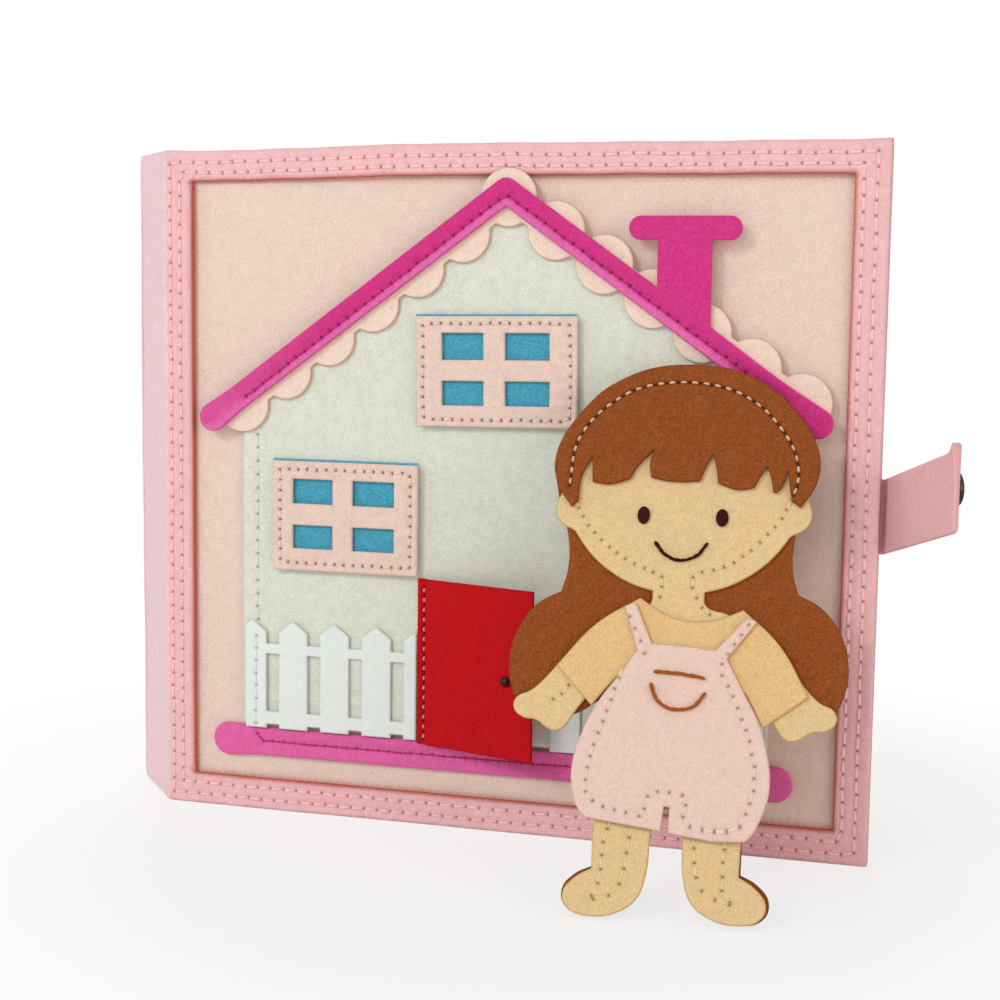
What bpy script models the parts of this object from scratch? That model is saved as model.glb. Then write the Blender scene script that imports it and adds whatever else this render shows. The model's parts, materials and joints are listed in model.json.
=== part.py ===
"""A felt quiet book that stands partly open, with a house sewn on its front cover, a strap that
snaps it shut, felt leaves inside and a felt doll that leans on the cover. Metres, Z up. The
origin is the middle of the bottom of the whole object's box."""

import math

import bmesh
import bpy
from mathutils import Matrix, Vector

MM = 0.001

# Book
COVER_LENGTH = 224.5 * MM
COVER_HEIGHT = 210.0 * MM
SPINE_WIDTH = 32.0 * MM
FOLD_ANGLE = math.radians(130.0)
CLOSED_ANGLE = math.radians(90.0)
STRAIGHT = math.radians(180.0)
GAP = 0.3 * MM
OUTER_FELT = 2.0 * MM
PANEL_FELT = 1.2 * MM
BOARD = 1.2 * MM
LINING_FELT = 1.3 * MM
RIM = 2.5 * MM
OVERRUN = 1.0 * MM

# Window that the front cover's border leaves
BORDER_AT_FOLD = 9.2 * MM
BORDER_AT_FORE_EDGE = 10.1 * MM
BORDER_BOTTOM = 10.2 * MM
BORDER_TOP = 9.5 * MM

# Leaves
LEAF_COUNT = 4
LEAF_FELT = 1.2 * MM
LEAF_FORE_MARGIN = 5.3 * MM
LEAF_END_MARGIN = 3.0 * MM
LEAF_CORNER = 6.0 * MM

# House, with its places as shares of the window, from its lower corner at the fold
HOUSE_FELT = 1.2 * MM
WALL_SIDES_share = (0.083, 0.903)
GROUND_ENDS_share = (0.0315, 0.941)
GROUND_HEIGHT_share = 0.064
GROUND_WIDTH = 9.1 * MM
STRIP_END_share = 1.17
STRIP_PLAIN_END = 12.0 * MM
SCALLOP_RADIUS = 8.8 * MM
SCALLOP_BAND = 8.0 * MM
SCALLOP_LEAST_PITCH = 17.0 * MM
SCALLOP_PLACES_share = ((0.086, 0.634), (0.506, 0.971), (0.938, 0.6605))
ROOF_FELT = 2.0 * MM
ROOF_WIDTH = 7.6 * MM
ROOF_PLACES_share = ((0.040, 0.6115), (0.504, 0.981), (0.962, 0.631))
CHIMNEY_PLACE_share = (0.768, 0.9235)
CHIMNEY_TOP_LENGTH = 33.3 * MM
CHIMNEY_TOP_WIDTH = 7.1 * MM
CHIMNEY_STEM_WIDTH = 16.0 * MM

# House windows
PANE_FELT = 1.0 * MM
SASH_FELT = 1.5 * MM
PANE_OFFSET = 0.6 * MM
UPPER_WINDOW_PLACE_share = (0.370, 0.6075)
UPPER_WINDOW_WIDTH = 50.5 * MM
UPPER_WINDOW_HEIGHT = 33.5 * MM
UPPER_WINDOW_ROLL = math.radians(0.8)
UPPER_COLUMNS_share = ((0.162, 0.422), (0.556, 0.830))
UPPER_ROWS_share = ((0.194, 0.415), (0.606, 0.848))
LOWER_WINDOW_LEFT_share = 0.139
LOWER_WINDOW_ABOVE_DOOR = 0.6 * MM
LOWER_WINDOW_WIDTH = 48.0 * MM
LOWER_WINDOW_HEIGHT = 34.5 * MM
LOWER_COLUMNS_share = ((0.140, 0.417), (0.554, 0.838))
LOWER_ROWS_share = ((0.203, 0.417), (0.614, 0.838))

# Door
DOOR_HINGE_share = 0.3865
DOOR_BOTTOM_share = 0.0846
DOOR_WIDTH = 39.2 * MM
DOOR_HEIGHT = 52.2 * MM
DOOR_AJAR = math.radians(17.2)
SEAM_WIDTH = 2.15 * MM
KNOB_RADIUS = 1.6 * MM
KNOB_HEIGHT = 1.5 * MM
KNOB_PLACE_share = (0.765, 0.46)

# Fence
FENCE_FELT = 1.2 * MM
FENCE_HEIGHT = 35.1 * MM
PICKET_WIDTH = 9.8 * MM
PICKET_PITCH = 14.0 * MM
PICKET_POINT = 3.7 * MM
LOWER_RAIL_BOTTOM = 1.3 * MM
LOWER_RAIL_TOP = 5.6 * MM
UPPER_RAIL_BOTTOM = 24.2 * MM
UPPER_RAIL_TOP = 27.6 * MM
FENCE_INSET = 1.3 * MM
FIRST_PICKET_INSET = 2.4 * MM

# Strap
STRAP_FELT = 1.5 * MM
STRAP_WIDTH = 22.0 * MM
STRAP_SLANT = math.radians(13.9)
STRAP_LENGTH = 54.0 * MM
STRAP_HEIGHT_share = 0.491
STRAP_SWING = math.radians(-66.5)
STRAP_CORNER = 1.6 * MM
TONGUE_LENGTH = 18.4 * MM
SNAP_RADIUS = 4.75 * MM
SNAP_FROM_END = 6.2 * MM
SNAP_ABOVE_MIDDLE = 1.6 * MM
SOCKET_HEIGHT = 1.6 * MM
SOCKET_BORE = 2.3 * MM
SOCKET_DEPTH = 1.2 * MM
STUD_BASE = 0.8 * MM
STUD_POST = 1.0 * MM
STUD_RADIUS = 1.8 * MM
SNAP_EDGE = 0.3 * MM

# Doll, drawn in hundredths of its height from the middle of its soles
DOLL_HEIGHT_share = 0.7524
DOLL_FELT = 1.2 * MM
FRINGE_FELT = 1.5 * MM
SHIRT_FELT = 1.0 * MM
THREAD_RADIUS = 0.5 * MM
EYE_HALF_WIDTH = 1.75 * MM
EYE_HALF_TALL = 2.6 * MM
EYE_HEIGHT = 0.6 * MM
DOLL_LEAN = math.radians(23.0)
DOLL_YAW = math.radians(5.0)
DOLL_PLACE_share = 0.815
DOLL_TOUCH_shares = (6.5, 97.3)
BODY_ROLL = math.radians(0.5)
CAP_ROLL = math.radians(1.75)
CAP_SHIFT_shares = 2.0
BACK_HAIR_ROLL = math.radians(1.5)
BACK_HAIR_SHIFT_shares = 0.9
SHIRT_ROLL = math.radians(-4.5)
SHIRT_SHIFT_shares = -2.3
DUNGAREES_ROLL = math.radians(-2.25)
DUNGAREES_SHIFT_shares = -0.95

# Half outlines from the top to the crotch or hem: across, up, and 1 at a sharp corner
HEAD_shares = (
    (0.0, 96.8, 0), (11.4, 94.3, 0), (18.4, 88.0, 0), (21.5, 81.0, 0), (21.8, 75.6, 0),
    (22.9, 71.8, 0), (22.1, 69.4, 0), (19.2, 67.6, 1), (17.5, 65.1, 0), (15.0, 62.3, 0),
    (11.4, 59.6, 0), (7.8, 57.8, 0), (4.6, 56.9, 1),
)
ARM_shares = (
    (4.9, 54.6, 0), (9.0, 53.0, 0), (18.0, 46.0, 0), (25.1, 38.2, 0), (27.6, 36.8, 0),
    (28.0, 35.0, 0), (26.4, 33.4, 0), (23.7, 32.9, 0), (21.6, 31.5, 0), (19.8, 31.3, 0),
    (18.6, 32.2, 0), (16.6, 35.4, 0), (11.0, 42.0, 1),
)
LEG_shares = (
    (10.6, 30.0, 0), (12.2, 20.0, 0), (12.6, 14.8, 0), (12.5, 8.0, 1), (15.4, 6.2, 0),
    (17.2, 3.5, 0), (16.1, 1.0, 0), (12.0, 0.0, 0), (8.1, 0.7, 0), (4.6, 3.2, 0), (3.2, 7.0, 0),
    (2.7, 14.1, 0), (2.3, 18.6, 1),
)
BACKING_shares = (
    (0.0, 95.6, 0), (11.0, 93.0, 0), (17.8, 87.0, 0), (20.6, 80.5, 0), (19.5, 72.0, 0),
    (15.5, 64.5, 0), (9.0, 58.6, 0), (7.6, 53.0, 0), (9.0, 42.0, 0), (10.0, 30.0, 0),
    (11.8, 20.0, 0), (12.6, 14.8, 0), (12.7, 8.5, 1), (15.6, 7.0, 0), (17.6, 4.2, 0),
    (16.6, 1.3, 0), (12.0, 0.2, 0), (8.4, 1.0, 0), (5.0, 3.5, 0), (3.7, 7.2, 0),
    (3.1, 14.1, 0), (2.6, 18.9, 1),
)
BACK_HAIR_shares = (
    (0.0, 98.2, 0), (11.9, 95.4, 0), (19.3, 88.8, 0), (22.8, 81.6, 0), (22.2, 74.0, 0),
    (20.3, 67.5, 0), (20.0, 61.0, 0), (21.0, 56.9, 1), (24.9, 54.7, 0), (28.6, 49.4, 0),
    (29.7, 43.7, 0), (29.1, 39.6, 0), (27.4, 36.2, 0), (23.6, 34.0, 0), (18.0, 34.6, 0),
    (12.0, 38.0, 0), (0.0, 42.0, 0),
)
CAP_shares = (
    (0.0, 99.4, 0), (12.4, 96.5, 0), (20.0, 89.5, 0), (23.7, 81.9, 0), (23.2, 76.7, 0),
    (20.4, 72.2, 1),
)
FRINGE_shares = (
    (-19.2, 73.4, 1), (-19.0, 77.0, 0), (-18.4, 79.0, 0), (-17.0, 81.7, 1), (-16.8, 77.0, 1),
    (-13.6, 76.5, 0), (-10.0, 77.5, 1), (-8.7, 79.8, 0), (-5.8, 83.1, 1), (-6.5, 80.5, 0),
    (-6.2, 77.8, 1), (-2.0, 77.0, 0), (2.6, 77.1, 1), (3.5, 79.4, 0), (4.8, 82.1, 1),
    (5.4, 79.8, 0), (5.8, 76.7, 1), (9.6, 75.5, 0), (12.2, 75.9, 1), (13.4, 78.1, 0),
    (14.5, 79.8, 1), (15.0, 78.4, 0), (15.6, 75.0, 1), (16.5, 75.2, 0), (18.2, 79.0, 1),
    (18.4, 76.4, 0), (18.9, 73.4, 1),
)
SHIRT_shares = (
    (0.0, 51.5, 0), (2.6, 51.7, 0), (6.0, 52.9, 0), (9.1, 54.6, 1), (16.0, 49.2, 0),
    (22.0, 40.8, 1), (14.9, 34.4, 1), (11.2, 40.0, 1), (10.4, 29.0, 1),
)
DUNGAREES_shares = (
    (5.3, 46.8, 1), (8.9, 53.9, 1), (10.8, 53.1, 1), (7.8, 45.4, 1), (10.6, 40.7, 0),
    (13.8, 35.4, 0), (16.1, 29.4, 0), (17.0, 24.0, 0), (16.5, 20.2, 0), (15.1, 16.9, 0),
    (13.6, 15.6, 1), (0.6, 14.6, 1), (0.45, 18.8, 1),
)
EYE_PLACE_shares = (7.0, 70.6)
EYE_SHIFT_shares = -0.5
SMILE_shares = ((-4.6, 65.7), (-3.0, 63.6), (0.0, 62.4), (3.0, 63.6), (4.6, 65.7))
POCKET_LINE_shares = ((-4.3, 41.8), (0.0, 41.8), (4.4, 41.3))
POCKET_CURVE_shares = (
    (-4.7, 39.6), (-3.9, 37.3), (-2.0, 35.8), (0.3, 35.4), (2.7, 36.1), (3.9, 37.5), (4.7, 38.7),
)

# Fineness of round outlines
ARC_STEP = math.radians(20.0)
SHARP_EDGE = math.radians(40.0)
MERGE_DISTANCE = 0.01 * MM
BEZIER_STEPS = 4
ROUND_SIDES = 20

# Places that follow from the sizes above. Depths run inwards from a cover's outer face.
FOLD_RADIUS = OUTER_FELT / 2
OUTER_START = FOLD_RADIUS + GAP
PANEL_FRONT = OUTER_FELT + GAP
PANEL_BACK = PANEL_FRONT + PANEL_FELT
BOARD_FRONT = PANEL_BACK + GAP
BOARD_BACK = BOARD_FRONT + BOARD
LINING_FRONT = BOARD_BACK + GAP
LINING_BACK = LINING_FRONT + LINING_FELT
INNER_START = LINING_BACK - FOLD_RADIUS + GAP
WINDOW_RIGHT = COVER_LENGTH - BORDER_AT_FORE_EDGE
WINDOW_TOP = COVER_HEIGHT - BORDER_TOP
LEAF_HALF = LEAF_FELT + GAP / 2
LEAF_DEPTH = LINING_BACK + GAP + LEAF_HALF
LEAF_LENGTH = COVER_LENGTH - LEAF_FORE_MARGIN - (LEAF_DEPTH - FOLD_RADIUS)
SCALLOP_FRONT = -GAP - HOUSE_FELT
ROOF_FRONT = SCALLOP_FRONT - GAP - ROOF_FELT
PANE_FRONT = -GAP - PANE_FELT
SASH_FRONT = PANE_FRONT - GAP - SASH_FELT
FENCE_FRONT = -GAP - FENCE_FELT
SEAM_FRONT = -GAP - HOUSE_FELT
DOOR_HALF = HOUSE_FELT / 2
DOOR_DEPTH = SEAM_FRONT - GAP - DOOR_HALF * (math.sqrt(2.0) - 1)
STRAP_HALF = STRAP_FELT / 2
STRAP_DEPTH = LINING_BACK + GAP + STRAP_HALF
STRAP_AXIS = COVER_LENGTH + GAP + STRAP_HALF
LEAF_FROM_COVER = STRAP_DEPTH + STRAP_HALF + GAP + LEAF_HALF
LEAF_PITCH = (SPINE_WIDTH + 2 * FOLD_RADIUS - 2 * LEAF_FROM_COVER) / (LEAF_COUNT - 1)
SNAP_STACK = GAP + STUD_BASE + GAP + SOCKET_HEIGHT + GAP
STRAP_ROOT_LENGTH = SPINE_WIDTH + FOLD_RADIUS + SNAP_STACK + STRAP_HALF - (STRAP_DEPTH - FOLD_RADIUS)
STRAP_TIP_LENGTH = STRAP_LENGTH - STRAP_ROOT_LENGTH
STRAP_RISE = math.tan(STRAP_SLANT)
STRAP_HEIGHT = STRAP_HEIGHT_share * COVER_HEIGHT
SNAP_ALONG = STRAP_TIP_LENGTH - SNAP_FROM_END
SNAP_HEIGHT = STRAP_HEIGHT + STRAP_RISE * (STRAP_ROOT_LENGTH + SNAP_ALONG) + SNAP_ABOVE_MIDDLE
DOLL_UNIT = DOLL_HEIGHT_share * COVER_HEIGHT / 100

# Felt and metal, as sRGB
COLOURS = {
    "border_felt": "F5B0B8",
    "spine_felt": "F6CBD2",
    "panel_felt": "EBCBB9",
    "lining_felt": "F0C4C6",
    "board": "C9B79A",
    "wall_felt": "DBE2CF",
    "scallop_felt": "F3D2BC",
    "roof_felt": "DB3F97",
    "sash_felt": "F0CCBD",
    "pane_felt": "3E9CC6",
    "door_felt": "C5161D",
    "knob_bead": "2A1512",
    "fence_felt": "E6EEEA",
    "leaf_felt": "F3EAD8",
    "snap_metal": "2A2622",
    "hair_felt": "8C4B22",
    "skin_felt": "E8CE94",
    "shirt_felt": "E8C87E",
    "dungarees_felt": "EFCFC2",
    "face_thread": "4A1812",
    "pocket_thread": "B5531F",
}
FELT_ROUGHNESS = 0.95
METAL_ROUGHNESS = 0.35


def linear(channel):
    return channel / 12.92 if channel <= 0.04045 else ((channel + 0.055) / 1.055) ** 2.4


def material(name):
    """The named material, made the first time that a piece asks for it."""
    found = bpy.data.materials.get(name)
    if found:
        return found
    made = bpy.data.materials.new(name)
    made.use_nodes = True
    shader = made.node_tree.nodes["Principled BSDF"]
    code = COLOURS[name]
    colour = [linear(int(code[i : i + 2], 16) / 255) for i in (0, 2, 4)]
    shader.inputs["Base Color"].default_value = (*colour, 1.0)
    metal = name == "snap_metal"
    shader.inputs["Metallic"].default_value = float(metal)
    shader.inputs["Roughness"].default_value = METAL_ROUGHNESS if metal else FELT_ROUGHNESS
    return made


def empty(name, parent, place=(0.0, 0.0, 0.0), turn=0.0):
    """An axis or a frame to place pieces by, turned about Z."""
    frame = bpy.data.objects.new(name, None)
    frame.parent = parent
    frame.location = place
    frame.rotation_euler.z = turn
    frame.empty_display_size = RIM
    PARTS.objects.link(frame)
    return frame


def add(name, data, parent, finish, place=(0.0, 0.0, 0.0), turn=(0.0, 0.0, 0.0)):
    piece = bpy.data.objects.new(name, data)
    piece.parent = parent
    piece.location = place
    piece.rotation_euler = turn
    data.materials.append(material(finish))
    PARTS.objects.link(piece)
    return piece


def spline(curve, points, closed):
    """One spline through the points: smooth where a point's third value is 0, and straight with none."""
    curved = len(points[0]) > 2
    made = curve.splines.new("BEZIER" if curved else "POLY")
    made.use_cyclic_u = closed
    if not curved:
        made.points.add(len(points) - 1)
        for knot, (across, up) in zip(made.points, points):
            knot.co = (across, up, 0.0, 1.0)
        return
    made.bezier_points.add(len(points) - 1)
    for knot, (across, up, corner) in zip(made.bezier_points, points):
        knot.co = (across, up, 0.0)
        kind = "VECTOR" if corner else "AUTO"
        knot.handle_left_type = kind
        knot.handle_right_type = kind


def flat(name, loops, near, far, parent, finish, roll=0.0, shift=0.0):
    """Felt cut to an outline with holes, between two depths of its parent's frame."""
    curve = bpy.data.curves.new(name, "CURVE")
    curve.dimensions = "2D"
    curve.fill_mode = "BOTH"
    curve.resolution_u = BEZIER_STEPS
    curve.extrude = (far - near) / 2
    for points in loops:
        spline(curve, points, True)
    place = (shift * math.cos(roll), (near + far) / 2, shift * math.sin(roll))
    return add(name, curve, parent, finish, place, (math.pi / 2, -roll, 0.0))


def thread(name, points, depth, parent, finish, roll=0.0, shift=0.0):
    """A sewn line of stout thread."""
    curve = bpy.data.curves.new(name, "CURVE")
    curve.dimensions = "3D"
    curve.bevel_depth = THREAD_RADIUS
    curve.bevel_resolution = 1
    curve.use_fill_caps = True
    curve.resolution_u = BEZIER_STEPS
    spline(curve, [(across, up, 0) for across, up in points], False)
    place = (shift * math.cos(roll), depth, shift * math.sin(roll))
    return add(name, curve, parent, finish, place, (math.pi / 2, -roll, 0.0))


def arc(middle, radius, start, end):
    """Points round a middle, from one angle to another."""
    steps = max(2, round(abs(end - start) / ARC_STEP))
    angles = [start + (end - start) * i / steps for i in range(steps + 1)]
    return [(middle[0] + radius * math.cos(a), middle[1] + radius * math.sin(a)) for a in angles]


def rectangle(left, bottom, right, top, corner=0.0, rounded=(False, False, False, False)):
    """Counter-clockwise from the lower left, with each corner sharp or rounded."""
    corners = ((left, bottom), (right, bottom), (right, top), (left, top))
    inner = (
        (left + corner, bottom + corner),
        (right - corner, bottom + corner),
        (right - corner, top - corner),
        (left + corner, top - corner),
    )
    points = []
    for i, (sharp, middle, soft) in enumerate(zip(corners, inner, rounded)):
        start = math.pi + i * math.pi / 2
        points += arc(middle, corner, start, start + math.pi / 2) if soft else [sharp]
    return points


def box_mesh(name, low, high):
    """A box between two corners: across, depth, up."""
    solid = bmesh.new()
    bmesh.ops.create_cube(solid, size=1.0)
    low, high = Vector(low), Vector(high)
    size = high - low
    bmesh.ops.scale(solid, vec=size, verts=solid.verts)
    bmesh.ops.translate(solid, vec=(low + high) / 2, verts=solid.verts)
    mesh = bpy.data.meshes.new(name)
    solid.to_mesh(mesh)
    solid.free()
    return mesh


def cut(piece, low, high):
    """Takes a box out of a piece with a Boolean, in the piece's own frame."""
    name = f"{piece.name}_cutter_{len(piece.modifiers) + 1}"
    cutter = bpy.data.objects.new(name, box_mesh(name, low, high))
    cutter.parent = piece.parent
    cutter.hide_render = True
    cutter.display_type = "WIRE"
    CUTTERS.objects.link(cutter)
    modifier = piece.modifiers.new("cut", "BOOLEAN")
    modifier.operation = "DIFFERENCE"
    modifier.solver = "EXACT"
    modifier.object = cutter


def rod(name, radius, height, bottom, parent, finish):
    """An upright round rod on its parent's axis."""
    solid = bmesh.new()
    bmesh.ops.create_cone(
        solid, cap_ends=True, segments=ROUND_SIDES, radius1=radius, radius2=radius, depth=height
    )
    bmesh.ops.translate(solid, vec=(0.0, 0.0, bottom + height / 2), verts=solid.verts)
    mesh = bpy.data.meshes.new(name)
    solid.to_mesh(mesh)
    solid.free()
    mesh.shade_smooth()
    mesh.set_sharp_from_angle(angle=SHARP_EDGE)
    return add(name, mesh, parent, finish)


def turned(name, profile, parent, finish, place, turn):
    """A profile of radius and height, listed from the top down, turned about its own Z."""
    mesh = bpy.data.meshes.new(name)
    count = len(profile)
    points = [(radius, 0.0, height) for radius, height in profile]
    mesh.from_pydata(points, [(i, i + 1) for i in range(count - 1)], [])
    piece = add(name, mesh, parent, finish, place, turn)
    screw = piece.modifiers.new("turn", "SCREW")
    screw.steps = ROUND_SIDES
    screw.render_steps = ROUND_SIDES
    screw.use_merge_vertices = True
    screw.merge_threshold = MERGE_DISTANCE
    return piece


def shell(name, left, right, rim_left, rim_right, face, closed_left, closed_right, finish):
    """An outer sheet with a rim turned in along its top, bottom and closed side edges."""
    box = box_mesh(name, (left, 0.0, 0.0), (right, BOARD_BACK, COVER_HEIGHT))
    piece = add(name, box, face, finish)
    back = BOARD_BACK + OVERRUN
    inner_left = left + RIM if closed_left else left - OVERRUN
    inner_right = right - RIM if closed_right else right + OVERRUN
    cut(piece, (inner_left, OUTER_FELT, RIM), (inner_right, back, COVER_HEIGHT - RIM))
    if not closed_left:
        cut(piece, (left - OVERRUN, OUTER_FELT, -OVERRUN), (rim_left, back, COVER_HEIGHT + OVERRUN))
    if not closed_right:
        cut(piece, (rim_right, OUTER_FELT, -OVERRUN), (right + OVERRUN, back, COVER_HEIGHT + OVERRUN))
    return piece


def spine(face, front_axis, back_axis):
    """The spine: outer sheet, stiff board and lining, with a fold of felt along each long edge."""
    left, right = INNER_START, SPINE_WIDTH - INNER_START
    shell(
        "spine_cover", OUTER_START, SPINE_WIDTH - OUTER_START, left, right, face, False, False, "spine_felt"
    )
    edge = RIM + GAP
    board = rectangle(left, edge, right, COVER_HEIGHT - edge)
    flat("spine_board", [board], PANEL_FRONT, BOARD_BACK, face, "board")
    lining = rectangle(left, 0.0, right, COVER_HEIGHT)
    flat("spine_lining", [lining], LINING_FRONT, LINING_BACK, face, "lining_felt")
    rod("front_fold", FOLD_RADIUS, COVER_HEIGHT, 0.0, front_axis, "spine_felt")
    rod("back_fold", FOLD_RADIUS, COVER_HEIGHT, 0.0, back_axis, "spine_felt")


def front_cover(face):
    """The front cover: a border sheet with a window, and the panel, board and lining behind it."""
    border = shell(
        "front_frame", OUTER_START, COVER_LENGTH, INNER_START, 0.0, face, False, True, "border_felt"
    )
    cut(
        border,
        (BORDER_AT_FOLD, -OVERRUN, BORDER_BOTTOM),
        (WINDOW_RIGHT, OUTER_FELT + OVERRUN, WINDOW_TOP),
    )
    edge = RIM + GAP
    inner = rectangle(INNER_START, edge, COVER_LENGTH - edge, COVER_HEIGHT - edge)
    flat("front_panel", [inner], PANEL_FRONT, PANEL_BACK, face, "panel_felt")
    flat("front_board", [inner], BOARD_FRONT, BOARD_BACK, face, "board")
    lining = rectangle(INNER_START, 0.0, COVER_LENGTH, COVER_HEIGHT)
    flat("front_lining", [lining], LINING_FRONT, LINING_BACK, face, "lining_felt")


def back_cover(face):
    """The back cover, whose frame runs towards the fold, so that its pieces lie at minus X."""
    shell(
        "back_cover_sheet", -COVER_LENGTH, -OUTER_START, 0.0, -INNER_START, face, True, False,
        "border_felt",
    )
    edge = RIM + GAP
    inner = rectangle(edge - COVER_LENGTH, edge, -INNER_START, COVER_HEIGHT - edge)
    flat("back_board", [inner], PANEL_FRONT, BOARD_BACK, face, "board")
    lining = rectangle(-COVER_LENGTH, 0.0, -INNER_START, COVER_HEIGHT)
    flat("back_lining", [lining], LINING_FRONT, LINING_BACK, face, "lining_felt")


def leaves(spine_face):
    """Felt leaves of two sheets, each sewn to the spine at a rounded tab that it turns about."""
    height = COVER_HEIGHT - 2 * LEAF_END_MARGIN
    top = COVER_HEIGHT - LEAF_END_MARGIN
    middle = (LEAF_COUNT + 1) / 2
    half_count = LEAF_COUNT // 2
    for number in range(1, LEAF_COUNT + 1):
        from_front = SPINE_WIDTH / 2 + (number - middle) * LEAF_PITCH
        steps_out = half_count + 1 - number if number <= half_count else half_count - number
        swing = (FOLD_ANGLE - CLOSED_ANGLE) * steps_out / (half_count + 1)
        place = (SPINE_WIDTH - from_front, LEAF_DEPTH, 0.0)
        leaf = empty(f"leaf_{number}_axis", spine_face, place, CLOSED_ANGLE - swing)
        tab = f"leaf_{number}_tab"
        rod(tab, LEAF_HALF, height, LEAF_END_MARGIN, leaf, "leaf_felt")
        soft = (False, True, True, False)
        start = LEAF_HALF + GAP
        page = rectangle(start, LEAF_END_MARGIN, LEAF_LENGTH, top, LEAF_CORNER, soft)
        flat(f"leaf_{number}_front", [page], -LEAF_HALF, -GAP / 2, leaf, "leaf_felt")
        flat(f"leaf_{number}_back", [page], GAP / 2, LEAF_HALF, leaf, "leaf_felt")


def on_window(place):
    """Where a pair of shares of the window lies on the front cover."""
    across, up = place
    width = WINDOW_RIGHT - BORDER_AT_FOLD
    height = WINDOW_TOP - BORDER_BOTTOM
    return BORDER_AT_FOLD + across * width, BORDER_BOTTOM + up * height


def angle_of(start, end):
    return math.atan2(end[1] - start[1], end[0] - start[0])


def beside(place, heading, along, across):
    """The point some way along a heading from a place, and then some way to its left."""
    return (
        place[0] + along * math.cos(heading) - across * math.sin(heading),
        place[1] + along * math.sin(heading) + across * math.cos(heading),
    )


def scallop_outline():
    """Discs in a row on both slopes, joined by a band, whose upper edge is straight on the first slope."""
    ends = [on_window(place) for place in SCALLOP_PLACES_share]
    middles = []
    for start, end in ((ends[0], ends[1]), (ends[1], ends[2])):
        peak = len(middles)
        count = max(1, math.floor(math.dist(start, end) / SCALLOP_LEAST_PITCH))
        for i in range(count):
            share = i / count
            middles.append(tuple(a + (b - a) * share for a, b in zip(start, end)))
    middles.append(ends[2])
    neck = math.asin(SCALLOP_BAND / (2 * SCALLOP_RADIUS))
    headings = [angle_of(a, b) for a, b in zip(middles, middles[1:])]
    arriving = [headings[0]] + headings
    leaving = headings + [headings[-1]]
    last = len(middles) - 1
    points = arc(middles[0], SCALLOP_RADIUS, arriving[0] + math.pi, arriving[0] + math.pi - neck)
    for i in range(peak, last + 1):
        start = arriving[i] + math.pi - neck
        end = leaving[i] + (neck if i < last else 0.0)
        points += arc(middles[i], SCALLOP_RADIUS, start, end)
    for i in range(last, -1, -1):
        start = leaving[i] - (neck if i < last else 0.0)
        end = arriving[i] - math.pi + (neck if i else 0.0)
        around = arc(middles[i], SCALLOP_RADIUS, start, end)
        points += around[1:] if i == last else around
    return points[:-1]


def roof_outline():
    """Two slopes with round ends that the stitches don't draw in, and the chimney on the right one."""
    left, peak, right = [on_window(place) for place in ROOF_PLACES_share]
    half = ROOF_WIDTH / 2
    quarter = math.pi / 2
    rise, fall = angle_of(left, peak), angle_of(peak, right)
    slope = math.tan(fall)
    edge_lift = half / math.cos(fall)

    def upper_edge(across):
        return peak[1] + (across - peak[0]) * slope + edge_lift

    chimney_across, chimney_up = on_window(CHIMNEY_PLACE_share)
    end_radius = CHIMNEY_TOP_WIDTH / 2
    bar_reach = CHIMNEY_TOP_LENGTH / 2 - end_radius
    stem_left = chimney_across - CHIMNEY_STEM_WIDTH / 2
    stem_right = chimney_across + CHIMNEY_STEM_WIDTH / 2
    bar_bottom = chimney_up - end_radius
    end_half = half * STRIP_END_share
    points = arc(left, end_half, rise + 3 * quarter, rise + quarter)
    points.append(beside(left, rise, STRIP_PLAIN_END, half))
    points += arc(peak, half, rise + quarter, fall + quarter)
    points += [(stem_left, upper_edge(stem_left)), (stem_left, bar_bottom)]
    points += arc((chimney_across - bar_reach, chimney_up), end_radius, 3 * quarter, quarter)
    points += arc((chimney_across + bar_reach, chimney_up), end_radius, quarter, -quarter)
    points += [(stem_right, bar_bottom), (stem_right, upper_edge(stem_right))]
    points.append(beside(right, fall, -STRIP_PLAIN_END, half))
    points += arc(right, end_half, fall + quarter, fall - quarter)
    points.append(beside(right, fall, -STRIP_PLAIN_END, -half))
    bend = (rise - fall) / 2
    middle_heading = (rise + fall) / 2
    inner = half / math.cos(bend)
    points.append(beside(peak, middle_heading, 0, -inner))
    points.append(beside(left, rise, STRIP_PLAIN_END, -half))
    return points


def house_window(name, left, bottom, width, height, columns, rows, roll, face):
    """A pane of felt under a sash with four lights, both turned a little about the lower corner."""
    corner = empty(f"{name}_corner", face, (left, 0.0, bottom))
    corner.rotation_euler.y = -roll
    lights = []
    for column in columns:
        for row in rows:
            low = (column[0] * width, row[0] * height)
            high = (column[1] * width, row[1] * height)
            lights.append(rectangle(*low, *high))
    sash = [rectangle(0.0, 0.0, width, height)] + lights
    pane = rectangle(-PANE_OFFSET, PANE_OFFSET, width - PANE_OFFSET, height + PANE_OFFSET)
    flat(f"{name}_frame", sash, SASH_FRONT, PANE_FRONT - GAP, corner, "sash_felt")
    flat(f"{name}_pane", [pane], PANE_FRONT, -GAP, corner, "pane_felt")


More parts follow.
